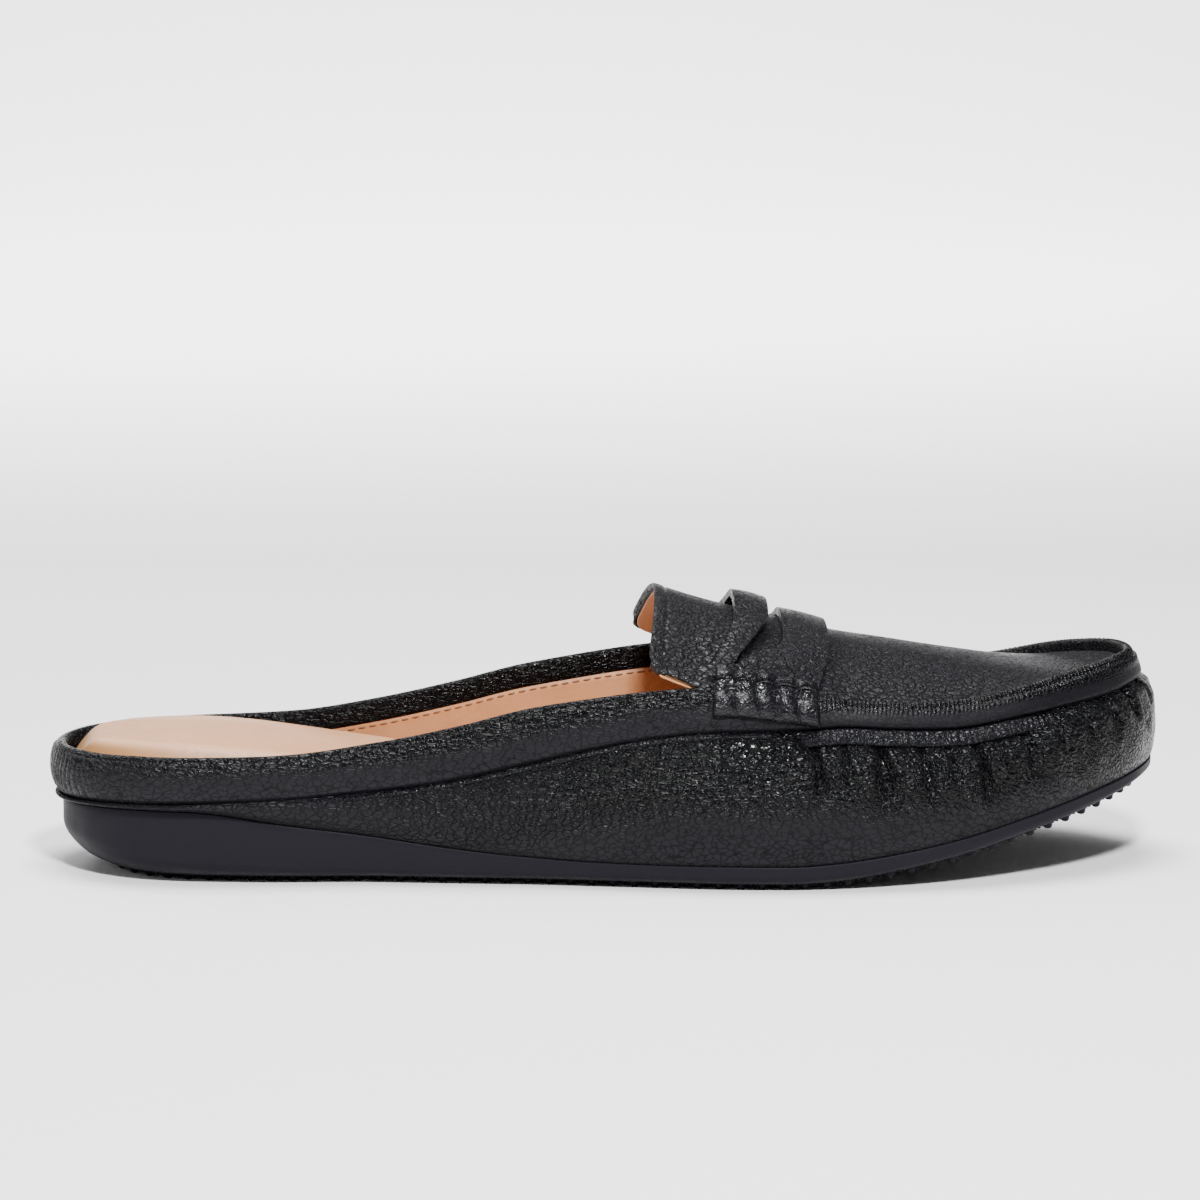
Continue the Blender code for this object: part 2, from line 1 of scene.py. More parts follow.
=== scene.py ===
"""The looks of a backless penny moccasin, right shoe: pebbled leather on a studded rubber wedge.

Metres. +X points to the toe, +Y to the big toe's side, +Z up. Forms are worked out with x = 0
at the back of the sole, and each finished piece is then laid where the CAD part has it.
"""

import math

import bmesh
import bpy
import numpy as np
from mathutils import Matrix, Vector


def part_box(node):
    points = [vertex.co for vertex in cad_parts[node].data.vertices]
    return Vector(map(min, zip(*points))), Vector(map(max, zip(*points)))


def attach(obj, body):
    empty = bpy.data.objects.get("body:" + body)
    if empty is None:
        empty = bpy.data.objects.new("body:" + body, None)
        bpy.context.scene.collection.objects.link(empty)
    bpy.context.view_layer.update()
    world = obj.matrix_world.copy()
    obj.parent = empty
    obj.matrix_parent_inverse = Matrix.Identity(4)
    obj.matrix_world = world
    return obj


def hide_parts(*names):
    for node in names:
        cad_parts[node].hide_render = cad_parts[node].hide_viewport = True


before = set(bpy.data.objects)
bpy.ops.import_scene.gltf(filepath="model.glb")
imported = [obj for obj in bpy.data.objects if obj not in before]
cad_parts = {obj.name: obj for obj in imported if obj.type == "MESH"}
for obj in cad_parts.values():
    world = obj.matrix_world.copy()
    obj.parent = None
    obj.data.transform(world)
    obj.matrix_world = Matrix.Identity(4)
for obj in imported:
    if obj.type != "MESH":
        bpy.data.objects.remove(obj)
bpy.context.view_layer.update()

# Outsole: one moulded rubber wedge with a rounded lower edge, smooth and satin at the sides.
# The upper is glued down inside its top edge, which leaves a thin dark line all round.
SOLE_LENGTH = 0.2549
BALL_WIDTH = 0.086
HEEL_THICKNESS = 0.0170
FOREFOOT_THICKNESS = 0.0058
TOE_SPRING = 0.0192
TOE_SWING = 0.005
HEEL_END_RADIUS = 0.026
TOE_END_RADIUS = 0.026
STUD_HEIGHT = 0.0014
SOLE_COLUMNS = 420
TOP_EDGE_RADIUS = 0.0003
MERGE = 0.000002


class Sections:
    """A short table with named columns, read between its rows by a cubic without overshoot."""

    def __init__(self, columns, *rows):
        names = columns.split()
        numbers = np.array(rows, dtype=float).T
        self.along = numbers[0]
        self.values = dict(zip(names[1:], numbers[1:]))
        self.slopes = {name: self.find_slopes(column) for name, column in self.values.items()}

    def find_slopes(self, column):
        """Slope at each row: zero at a turning point, else the harmonic mean of both sides."""
        rises = np.diff(column) / np.diff(self.along)
        slopes = np.zeros(len(column))
        slopes[0], slopes[-1] = rises[0], rises[-1]
        for k in range(1, len(rises)):
            if rises[k - 1] * rises[k] > 0:
                slopes[k] = 2 / (1 / rises[k - 1] + 1 / rises[k])
        return slopes

    def at(self, name, along):
        """The column's values at many places, held level beyond the first and last row."""
        along = np.clip(along, self.along[0], self.along[-1])
        k = np.searchsorted(self.along[1:-1], along, side="right")
        width = self.along[k + 1] - self.along[k]
        u = (along - self.along[k]) / width
        column, slopes = self.values[name], self.slopes[name]
        return (column[k] * (1 + 2 * u) * (1 - u) ** 2
                + column[k + 1] * u ** 2 * (3 - 2 * u)
                + slopes[k] * width * u * (1 - u) ** 2
                - slopes[k + 1] * width * u ** 2 * (1 - u))


OUTLINE = Sections(
    "along  outer  inner",
    (0.09, 0.314, 0.314),
    (0.17, 0.343, 0.343),
    (0.29, 0.349, 0.320),
    (0.41, 0.390, 0.314),
    (0.50, 0.436, 0.349),
    (0.60, 0.491, 0.422),
    (0.66, 0.506, 0.465),
    (0.73, 0.501, 0.488),
    (0.80, 0.474, 0.473),
    (0.87, 0.415, 0.422),
    (0.93, 0.328, 0.323),
    (0.97, 0.226, 0.205),
)

SIDE_VIEW = Sections(
    "along  lift   wedge",
    (0.00, 0.149, 0.680),
    (0.03, 0.050, 0.890),
    (0.07, 0.007, 0.990),
    (0.11, 0.000, 1.000),
    (0.21, 0.000, 0.700),
    (0.29, 0.000, 0.455),
    (0.36, 0.000, 0.232),
    (0.42, 0.000, 0.098),
    (0.475, 0.000, 0.027),
    (0.54, 0.000, 0.000),
    (0.655, 0.000, 0.000),
    (0.695, 0.031, 0.000),
    (0.755, 0.152, -0.027),
    (0.815, 0.314, -0.045),
    (0.865, 0.488, -0.054),
    (0.92, 0.686, -0.060),
    (0.96, 0.837, -0.089),
    (1.00, 1.000, -0.143),
)

EDGE_ROUNDING = Sections(
    "along  inset  rise",
    (0.00, 0.125, 0.55),
    (0.10, 0.075, 0.33),
    (0.25, 0.048, 0.26),
    (0.60, 0.036, 0.55),
    (0.80, 0.032, 0.50),
    (0.93, 0.032, 0.45),
    (1.00, 0.036, 0.42),
)


def along_at(x):
    """Share of the sole's length at x, held at the ends."""
    return np.clip(x / SOLE_LENGTH, 0, 1)


def tread(x):
    """Height of the stud tips."""
    return TOE_SPRING * SIDE_VIEW.at("lift", along_at(x))


def sole_top(x):
    """Height of the edge where the upper meets the sole."""
    extra = (HEEL_THICKNESS - FOREFOOT_THICKNESS) * SIDE_VIEW.at("wedge", along_at(x))
    return tread(x) + FOREFOOT_THICKNESS + extra


def make_fullness(side):
    """Half width over the half width of an ellipse, which stays finite at the round ends."""
    full = OUTLINE.values[side] * BALL_WIDTH / (2 * np.sqrt(OUTLINE.along * (1 - OUTLINE.along)))
    heel = (0.0, math.sqrt(HEEL_END_RADIUS * SOLE_LENGTH / 2))
    toe = (1.0, math.sqrt(TOE_END_RADIUS * SOLE_LENGTH / 2))
    return Sections("along full", heel, *zip(OUTLINE.along, full), toe)


FULLNESS = {side: make_fullness(side) for side in ("outer", "inner")}


def centre_line(along):
    """Sideways swing of the sole's centre line, toward the big toe."""
    return TOE_SWING * np.maximum(0, 2 * along - 1) ** 2


def edge_place(around):
    """Points of the sole's edge: around is 0 at the heel, 1/4 outside, 1/2 at the toe."""
    turn = 2 * np.pi * around
    along = (1 - np.cos(turn)) / 2
    full = np.where(np.sin(turn) >= 0, FULLNESS["outer"].at("full", along),
                    FULLNESS["inner"].at("full", along))
    return np.column_stack([along * SOLE_LENGTH, centre_line(along) - np.sin(turn) * full])


class Course:
    """Cuts through the shoe square to the sole's edge, one for each value of around."""

    def __init__(self, around):
        self.around = around % 1
        self.base = edge_place(around)
        step = edge_place(around + 0.0005) - edge_place(around - 0.0005)
        step /= np.linalg.norm(step, axis=1)[:, None]
        self.outward = np.column_stack([step[:, 1], -step[:, 0]])
        self.along = along_at(self.base[:, 0])
        self.inner_share = np.maximum(0, -np.sin(2 * np.pi * around)) ** 2

    def plan(self, offset):
        """Plan positions at offsets outward from the sole's edge."""
        return self.base + offset[:, None] * self.outward


# Length run along the sole's edge at fine steps of around, for even spacing and for patterns
AROUND_STEPS = np.linspace(0, 1, 2401)
EDGE_RUN = np.concatenate(
    [[0], np.cumsum(np.linalg.norm(np.diff(edge_place(AROUND_STEPS), axis=0), axis=1))])


def around_at(share, front=1.0):
    """Even steps round the shoe, the same on both sides, and closer by front before the throat."""
    half = len(AROUND_STEPS) // 2
    weight = np.where(AROUND_STEPS[1:half + 1] > 0.3, front, 1.0)
    spread = np.concatenate([[0], np.cumsum(weight * np.diff(EDGE_RUN[:half + 1]))])
    around = np.interp(1 - np.abs(1 - 2 * share), spread / spread[-1], AROUND_STEPS[:half + 1])
    return np.where(share > 0.5, 1 - around, around)


def run_at(around):
    """Metres along the sole's edge from the heel."""
    return np.interp(around, AROUND_STEPS, EDGE_RUN)


def smooth(value, low, high):
    """0 below low, 1 above high, and an even rise between them."""
    t = np.clip((value - low) / (high - low), 0, 1)
    return t * t * (3 - 2 * t)


def bump(value, centre, width):
    """A rounded bump, 1 at its centre, that has faded at about twice its width."""
    return np.exp(-((value - centre) / width) ** 2)


sole_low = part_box("outsole")[0]
CAD_RING = np.arange(76) / 76
SHOE_PLACE = np.array([sole_low.x, sole_low.y - edge_place(CAD_RING)[:, 1].min(), 0])


def lay_grid(name, across, down, form, closed=True):
    """A piece from a fine grid, its corners laid by form(u, v).

    form gets the shares across and down of every corner, and gives their points and their UVs.
    """
    mesh = bpy.data.meshes.new(name)
    bm = bmesh.new()
    bmesh.ops.create_grid(bm, x_segments=across, y_segments=down, size=0.5)
    bm.to_mesh(mesh)
    corners = np.empty(len(mesh.vertices) * 3)
    mesh.vertices.foreach_get("co", corners)
    shares = corners.reshape(-1, 3) + 0.5
    points, uvs = form(shares[:, 0], shares[:, 1])
    mesh.vertices.foreach_set("co", (points + SHOE_PLACE).ravel())
    loops = np.empty(len(mesh.loops), dtype=int)
    mesh.loops.foreach_get("vertex_index", loops)
    mesh.uv_layers.new(name="UVMap").data.foreach_set("uv", uvs[loops].ravel())
    bm.clear()
    bm.from_mesh(mesh)
    bmesh.ops.remove_doubles(bm, verts=bm.verts[:], dist=MERGE)
    if closed:
        open_edges = [edge for edge in bm.edges if edge.is_boundary]
        bmesh.ops.holes_fill(bm, edges=open_edges, sides=0)
        bmesh.ops.recalc_face_normals(bm, faces=bm.faces[:])
    bm.to_mesh(mesh)
    bm.free()
    mesh.shade_smooth()
    piece = bpy.data.objects.new(name, mesh)
    bpy.context.scene.collection.objects.link(piece)
    return piece


def finish_piece(piece, material, slot, *stands_for):
    """Material and body of a finished piece, and the CAD nodes it stands for. slot is not used."""
    piece.data.materials.append(material)
    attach(piece, "root")
    if stands_for:
        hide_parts(*stands_for)


# Each row of the sole's cut: share of the rounding's quarter turn, share of the wall above
# it, and inset and drop at the top edge in shares of its small radius
SOLE_ROWS = ([(turn / 12, 0, 0, 0) for turn in range(13)]
             + [(1, 0.2, 0, 0), (1, 0.4, 0, 0), (1, 0.6, 0, 0), (1, 0.8, 0, 0)]
             + [(1, 1, 0, 1), (1, 1, 0.3, 0.3), (1, 1, 1, 0), (1, 1, 8, 0)])


def sole_form(u, v):
    """Closed wedge: bottom middle, rounded edge, wall, small top edge, top middle."""
    rows = np.array(SOLE_ROWS)
    row = np.rint(v * (len(rows) + 1)).astype(int) - 1
    middle = (row < 0) | (row == len(rows))
    turn, wall, inset, drop = rows[np.clip(row, 0, len(rows) - 1)].T

    def edge(around):
        course = Course(around)
        sunk = BALL_WIDTH * EDGE_ROUNDING.at("inset", course.along)
        offset = -sunk * (1 - np.sin(np.pi / 2 * turn)) - TOP_EDGE_RADIUS * inset
        plan = course.plan(offset)
        x = plan[:, 0]
        bottom = tread(x) + STUD_HEIGHT
        rise = EDGE_ROUNDING.at("rise", course.along) * (sole_top(x) - bottom)
        low = bottom + rise * (1 - np.cos(np.pi / 2 * turn))
        return np.column_stack([plan, low + wall * (sole_top(x) - low) - TOP_EDGE_RADIUS * drop])

    around = around_at(u)
    here, there = edge(around), edge(1 - around)
    points = np.where(middle[:, None], (here + there) / 2, here)
    return points, np.column_stack([run_at(around), points[:, 2]])


def new_material(name, colour, roughness):
    """A material with its shader, its node tree and a way to add linked nodes."""
    material = bpy.data.materials.new(name)
    material.use_nodes = True
    shader = material.node_tree.nodes["Principled BSDF"]
    shader.inputs["Base Color"].default_value = (*colour, 1)
    shader.inputs["Roughness"].default_value = roughness
    return material, shader


def add_node(tree, kind, settings=(), **sockets):
    """A node with its settings, and its sockets given as numbers or linked from outputs.

    A socket is named with underscores for spaces, or by its number after an n.
    """
    node = tree.nodes.new("ShaderNode" + kind)
    for name, value in dict(settings).items():
        setattr(node, name, value)
    for name, value in sockets.items():
        key = int(name[1:]) if name[0] == "n" and name[1:].isdigit() else name.replace("_", " ")
        if isinstance(value, bpy.types.NodeSocket):
            tree.links.new(value, node.inputs[key])
        else:
            node.inputs[key].default_value = value
    return node


def maths(tree, operation, first, second=0.5, third=0.5):
    """Output of a Math node."""
    node = add_node(tree, "Math", {"operation": operation}, n0=first, n1=second, n2=third)
    return node.outputs[0]


def remap(tree, value, low, high, to_low=0.0, to_high=1.0):
    """Output of a smooth Map Range node."""
    node = add_node(tree, "MapRange", {"interpolation_type": "SMOOTHSTEP"}, n0=value, n1=low,
                    n2=high, n3=to_low, n4=to_high)
    return node.outputs[0]


def blend_colours(tree, share, first, second):
    """Output of a Mix node between two colours."""
    node = tree.nodes.new("ShaderNodeMix")
    node.data_type = "RGBA"
    tree.links.new(share, node.inputs[0])
    for socket, colour in ((node.inputs[6], first), (node.inputs[7], second)):
        if isinstance(colour, bpy.types.NodeSocket):
            tree.links.new(colour, socket)
        else:
            socket.default_value = (*colour, 1)
    return node.outputs[2]


rubber, shader = new_material("satin_rubber", (0.010, 0.0098, 0.0118), 0.55)
tree = rubber.node_tree
place = add_node(tree, "TexCoord").outputs["Object"]
mottle = add_node(tree, "TexNoise", Vector=place, Scale=90, Detail=4)
skin = add_node(tree, "TexNoise", Vector=place, Scale=2600, Detail=2)
tree.links.new(remap(tree, mottle.outputs[0], 0.3, 0.7, 0.46, 0.60), shader.inputs["Roughness"])
tree.links.new(blend_colours(tree, mottle.outputs[0], (0.0056, 0.0050, 0.0080),
                             (0.0076, 0.0068, 0.0108)), shader.inputs["Base Color"])
relief = add_node(tree, "Bump", Strength=0.25, Distance=0.00006, Height=skin.outputs[0])
tree.links.new(relief.outputs[0], shader.inputs["Normal"])
shader.inputs["Specular IOR Level"].default_value = 0.11

outsole = lay_grid("outsole_rubber", SOLE_COLUMNS, len(SOLE_ROWS) + 1, sole_form)
finish_piece(outsole, rubber, "black_rubber", "outsole")

# Studs under the outsole: moulded rubber pegs in staggered rows, with fine nubs between them.
# The pegs carry the shoe, and the row at the toe shows in the side view.
STUD_PITCH = 0.0057
STUD_MARGIN = 0.0046
EDGE_PITCH = 0.0049
EDGE_MARGIN = 0.0010
EDGE_NUBS = 3
STUD_ROOT_RADIUS = 0.00125
STUD_TIP_RADIUS = 0.0009
STUD_BEVEL = 0.0003
STUD_SIDES = 8
SHORTEST_TIP_EDGE = 1.8 * STUD_TIP_RADIUS * math.sin(math.pi / STUD_SIDES)
NUB_RADIUS = 0.0006
NUB_HEIGHT = 0.0006
NUB_SIDES = 6
SUNK = 0.0006


def stud_field():
    """Outer and inner y of the studs' field as functions of x, and its heel and toe ends."""
    course = Course(np.linspace(0, 0.5, 400))
    other = Course(1 - course.around)
    sides = []
    for side in (course, other):
        inset = BALL_WIDTH * EDGE_ROUNDING.at("inset", side.along) + STUD_MARGIN
        sides.append(side.plan(-inset))
    return sides


def add_peg(bm, x, y, root, tip, height):
    """A tapered peg from inside the sole down to height under its face."""
    top = float(tread(np.array([x]))[0]) + STUD_HEIGHT + SUNK
    length = height + SUNK
    wide = tip + (root - tip) * length / height
    bmesh.ops.create_cone(
        bm, cap_ends=True, segments=STUD_SIDES if root > NUB_RADIUS else NUB_SIDES, radius1=tip,
        radius2=wide, depth=length,
        matrix=Matrix.Translation(Vector((x, y, top - length / 2)) + Vector(SHOE_PLACE)))


outer_side, inner_side = stud_field()
rows = int((outer_side[-1, 0] - outer_side[0, 0]) / (2 * STUD_PITCH))
first_row = (outer_side[0, 0] + outer_side[-1, 0]) / 2 - rows * STUD_PITCH
studs = bmesh.new()
for row in range(-1, 2 * rows + 2):
    x = first_row + row * STUD_PITCH
    for quarter in range(4):
        nub_x = x + quarter * STUD_PITCH / 4
        if not outer_side[0, 0] < nub_x < outer_side[-1, 0]:
            continue
        low = np.interp(nub_x, outer_side[:, 0], outer_side[:, 1])
        high = np.interp(nub_x, inner_side[:, 0], inner_side[:, 1])
        step = STUD_PITCH / 2
        shift = step * (row % 2) if quarter == 0 else 0
        for column in range(math.ceil((low - shift) / step), math.floor((high - shift) / step) + 1):
            y = column * step + shift
            if quarter == 0 and column % 2 == 0:
                add_peg(studs, nub_x, y, STUD_ROOT_RADIUS, STUD_TIP_RADIUS, STUD_HEIGHT)
            else:
                add_peg(studs, nub_x, y, NUB_RADIUS, NUB_RADIUS * 0.7, NUB_HEIGHT)
edge_course = Course(AROUND_STEPS)
edge_inset = BALL_WIDTH * EDGE_ROUNDING.at("inset", edge_course.along) + EDGE_MARGIN
edge_plan = edge_course.plan(-edge_inset)
edge_run = np.concatenate([[0], np.cumsum(np.linalg.norm(np.diff(edge_plan, axis=0), axis=1))])
places = round(edge_run[-1] / EDGE_PITCH) * (EDGE_NUBS + 1)
for k in range(places):
    x, y = (np.interp(k * edge_run[-1] / places, edge_run, column) for column in edge_plan.T)
    if k % (EDGE_NUBS + 1) == 0:
        add_peg(studs, x, y, STUD_ROOT_RADIUS * 0.9, STUD_TIP_RADIUS, STUD_HEIGHT)
    else:
        add_peg(studs, x, y, NUB_RADIUS, NUB_RADIUS * 0.7, NUB_HEIGHT)
tips = [edge for edge in studs.edges
        if len(edge.link_faces) == 2 and edge.calc_face_angle() > 1
        and edge.calc_length() > SHORTEST_TIP_EDGE
        and edge.verts[0].co.z < min(face.calc_center_median().z
                                     for face in edge.link_faces) + MERGE / 2]
bmesh.ops.bevel(studs, geom=tips, offset=STUD_BEVEL, segments=1, profile=0.5, material=-1,
                affect="EDGES")
stud_mesh = bpy.data.meshes.new("outsole_studs")
studs.to_mesh(stud_mesh)
studs.free()
stud_mesh.shade_smooth()
stud_mesh.set_sharp_from_angle(angle=math.radians(50))
outsole_studs = bpy.data.objects.new("outsole_studs", stud_mesh)
bpy.context.scene.collection.objects.link(outsole_studs)
finish_piece(outsole_studs, rubber, "black_rubber")

# Lower panel: one piece of pebbled leather pulled up round the foot from under the sole. Its
# top edge is gathered to the apron at the toe, which throws puckers down the glossy side.
WALL_HEIGHT = 0.0404
LEATHER = 0.0011
PANEL_COLUMNS = 900
PANEL_ROWS = 54
INNER_ROWS = 8
PANEL_BACK = 0.0018
GROOVE_DEPTH = 0.0006
GROOVE_WIDTH = 0.0006
REAR_GROOVE = 0.0003
STRIP_HEIGHT = 0.0036
STRIP_BED = 0.0011
BED_EDGE = 0.0007
LOW_WALL = 0.006
BELLY_LEVEL = 0.45
FLUSH_HEIGHT = 0.012
FLUSH_INSET = 0.0001
TUCK_DEPTH = 0.0003
TUCK_HEIGHT = 0.0004

LEVELS = Sections(
    "along  seam   rim    inner",
    (0.00, 0.035, 0.322, 0.000),
    (0.05, 0.037, 0.310, 0.000),
    (0.11, 0.047, 0.312, 0.000),
    (0.21, 0.161, 0.412, 0.010),
    (0.29, 0.275, 0.550, 0.025),
    (0.36, 0.408, 0.705, 0.030),
    (0.42, 0.532, 0.839, 0.030),
    (0.475, 0.636, 0.918, 0.030),
    (0.535, 0.718, 0.975, 0.030),
    (0.595, 0.752, 1.000, 0.025),
    (0.655, 0.755, 0.955, 0.015),
    (0.695, 0.752, 0.896, 0.000),
    (0.755, 0.683, 0.814, -0.015),
    (0.815, 0.606, 0.745, -0.030),
    (0.865, 0.569, 0.715, -0.035),
    (0.92, 0.525, 0.693, -0.015),
    (0.96, 0.495, 0.673, 0.000),
    (1.00, 0.490, 0.614, 0.000),
)

FACE = Sections(
    "along  foot    belly   seam    band    rim",
    (0.00, -0.007, 0.027, 0.011, 0.042, 0.016),
    (0.10, -0.007, 0.033, 0.017, 0.047, 0.012),
    (0.25, -0.007, 0.035, 0.014, 0.029, 0.000),
    (0.40, -0.009, 0.041, 0.003, 0.003, -0.021),
    (0.50, -0.012, 0.058, -0.021, -0.026, -0.047),
    (0.60, -0.012, 0.070, -0.052, -0.058, -0.081),
    (0.70, -0.012, 0.076, -0.081, -0.091, -0.110),
    (0.80, -0.012, 0.070, -0.076, -0.086, -0.107),
    (0.90, -0.012, 0.058, -0.056, -0.065, -0.086),
    (1.00, -0.009, 0.030, -0.028, -0.033, -0.053),
)

# Puckers under the apron: place as x over the sole, depth, width, and how far down they run
OUTER_PUCKERS = (
    (0.1726, 0.0017, 0.0010, 0.012),
    (0.1794, 0.0013, 0.0009, 0.010),
    (0.1880, 0.0022, 0.0017, 0.013),
    (0.1977, 0.0016, 0.0010, 0.012),
    (0.2040, 0.0012, 0.0007, 0.009),
    (0.2108, 0.0021, 0.0010, 0.015),
    (0.2165, 0.0008, 0.0009, 0.008),
    (0.2226, 0.0014, 0.0013, 0.011),
    (0.2300, 0.0009, 0.0010, 0.008),
    (0.2370, 0.0011, 0.0011, 0.008),
    (0.2435, 0.0010, 0.0009, 0.008),
    (0.2490, 0.0013, 0.0010, 0.008),
    (0.2530, 0.0010, 0.0007, 0.008),
)
INNER_PUCKERS = (
    (0.1745, 0.0015, 0.0011, 0.012),
    (0.1822, 0.0017, 0.0012, 0.013),
    (0.1901, 0.0018, 0.0014, 0.012),
    (0.1985, 0.0015, 0.0009, 0.013),
    (0.2052, 0.0018, 0.0012, 0.011),
    (0.2130, 0.0015, 0.0011, 0.013),
    (0.2201, 0.0011, 0.0012, 0.010),
    (0.2283, 0.0012, 0.0012, 0.009),
    (0.2367, 0.0010, 0.0011, 0.008),
    (0.2440, 0.0011, 0.0010, 0.008),
    (0.2498, 0.0010, 0.0009, 0.008),
)
PUCKER_PUFF = 0.0013
PUCKER_DEPTH = 1.5
PUCKER_LEAN = 0.12
PUFF_REACH = 0.016
PUFF_PEAK = 0.0020
WAVE_REACH = 0.018
# Slow unevenness of the leather: height, size of a wave and seed
BROAD_WAVES = (0.00040, 0.0042, 3)
FINE_WAVES = (0.00018, 0.0019, 8)
CREASES = (0.00012, 0.010, 5)


def belly_share(level):
    """Curve parameter at a level of the lower panel, whose pull sits at BELLY_LEVEL."""
    spread = 1 - 2 * BELLY_LEVEL
    return (np.sqrt(BELLY_LEVEL ** 2 + spread * level) - BELLY_LEVEL) / spread


def belly_level(u):
    """Level of the lower panel at a curve parameter."""
    return 2 * BELLY_LEVEL * u * (1 - u) + u ** 2


def wall_heights(course, x):
    """Foot, seam and rim of the upper at x."""
    top = sole_top(x)
    seam = top + WALL_HEIGHT * LEVELS.at("seam", along_at(x))
    rim = top + WALL_HEIGHT * LEVELS.at("rim", along_at(x))
    lift = WALL_HEIGHT * LEVELS.at("inner", along_at(x)) * course.inner_share
    return top, seam, rim + lift


def wall_face(course, level):
    """Offset of the upper's outer face at levels: 0 foot, 1 seam, 2 rim."""
    level = np.clip(level, 0, 2)
    foot, belly, seam, band, rim = (
        BALL_WIDTH * FACE.at(name, course.along)
        for name in ("foot", "belly", "seam", "band", "rim"))
    u = belly_share(np.minimum(level, 1))
    low = foot * (1 - u) ** 2 + 2 * belly * u * (1 - u) + seam * u ** 2
    u = np.maximum(level - 1, 0)
    high = seam * (1 - u) ** 2 + 2 * band * u * (1 - u) + rim * u ** 2
    return np.where(level <= 1, low, high)


def wall_point(course, offset, level, rise=0.0):
    """Points at offsets and levels, a little above them by rise."""
    plan = course.plan(offset)
    foot, seam, rim = wall_heights(course, plan[:, 0])
    z = np.where(level <= 1, foot + (seam - foot) * level, seam + (rim - seam) * (level - 1))
    return np.column_stack([plan, z + rise])


def front_share(course):
    """0 along the open collar, 1 from the beef rolls to the toe."""
    return smooth(course.along, 0.635, 0.655)


def crumple(points, size, seed):
    """Slow random waves between -1 and 1 over a surface, from cells of that size."""
    lattice = np.random.default_rng(seed).uniform(-1, 1, (32, 32, 32))
    place = points / size + 100
    cell = np.floor(place).astype(int)
    share = smooth(place - cell, 0, 1)
    total = np.zeros(len(points))
    for corner in np.ndindex(2, 2, 2):
        i, j, k = ((cell + corner) % 32).T
        total += lattice[i, j, k] * np.prod(np.where(corner, share, 1 - share), axis=1)
    return total


def strip_share(course):
    """1 where the gathered strip stands between two grooves, fading to 0 before the toe."""
    return smooth(course.along, 0.655, 0.672) * (1 - smooth(course.along, 0.86, 0.935))


def panel_relief(course, drop, points):
    """How far the lower panel stands in or out: seam groove, bed of the strip and puckers."""
    front = front_share(course)
    strip = strip_share(course)
    foot, seam, _ = wall_heights(course, course.base[:, 0])
    tall = np.minimum(1, (seam - foot) / LOW_WALL)
    depth = REAR_GROOVE + (GROOVE_DEPTH - REAR_GROOVE) * front
    seam_dip = -depth * bump(drop, 0, GROOVE_WIDTH) * tall
    bed = -STRIP_BED * (1 - smooth(drop, STRIP_HEIGHT, STRIP_HEIGHT + BED_EDGE))
    below = np.maximum(0, drop - STRIP_HEIGHT * strip - 0.0004)
    puff = PUCKER_PUFF * smooth(below, 0, PUFF_PEAK) * (1 - smooth(below, 0.003, PUFF_REACH))
    puff = puff * (1 - 0.35 * smooth(course.along, 0.92, 1))
    lines = np.zeros(len(drop))
    outer = course.around < 0.5
    x = course.base[:, 0] - PUCKER_LEAN * below
    for rows, here in ((OUTER_PUCKERS, outer), (INNER_PUCKERS, ~outer)):
        for place, depth, width, reach in rows:
            fade = 1 - smooth(below, 0.3 * reach, 1.2 * reach)
            wide = width * (0.7 + 1.0 * smooth(below, 0, reach))
            slope = np.maximum(0.25, np.abs(course.outward[:, 1]))
            trough = PUCKER_DEPTH * depth * fade * bump((x - place) / slope, 0, wide)
            lines -= np.where(here, trough, 0)
    soft = smooth(below, 0, 0.001) * (1 - smooth(below, 0.010, WAVE_REACH))
    broad, fine, creases = (high * crumple(points, size, seed)
                            for high, size, seed in (BROAD_WAVES, FINE_WAVES, CREASES))
    return seam_dip + strip * bed + front * (puff + lines + soft * (broad + fine)) + creases


def panel_form(u, v):
    """Closed panel: in under the foot, up the outer face to the seam, and down inside."""
    around = around_at(u, 1.6)
    course = Course(around)
    row = np.rint(v * (PANEL_ROWS + INNER_ROWS + 2)).astype(int)
    up = np.clip(row / PANEL_ROWS, 0, 1)
    level = belly_level(1 - (1 - up) ** 1.35)
    inside = row > PANEL_ROWS
    level = np.where(inside, np.clip(1 - (row - PANEL_ROWS - 1) / INNER_ROWS, 0, 1), level)
    flat = wall_point(course, wall_face(course, level), level)
    foot, seam, _ = wall_heights(course, flat[:, 0])
    drop = seam - flat[:, 2]
    height = flat[:, 2] - foot
    foot_offset = wall_face(course, np.zeros(len(u)))
    flush = (-FLUSH_INSET - foot_offset) * (1 - smooth(height, 0, FLUSH_HEIGHT))
    tuck = flush - TUCK_DEPTH * bump(height, 0, TUCK_HEIGHT)
    outside = np.maximum(panel_relief(course, drop, flat) + tuck, FLUSH_INSET - PANEL_BACK)
    relief = np.where(inside, -PANEL_BACK, outside)
    points = wall_point(course, wall_face(course, level) + relief, level)
    return points, np.column_stack([run_at(around), -drop])


# The pebbles are turned and drawn out, so that they run slanting down to the toe
GRAIN_TURN = (0.25, 0.5, 0.4)
GRAIN_STRETCH = (0.75, 1.2, 1.15)


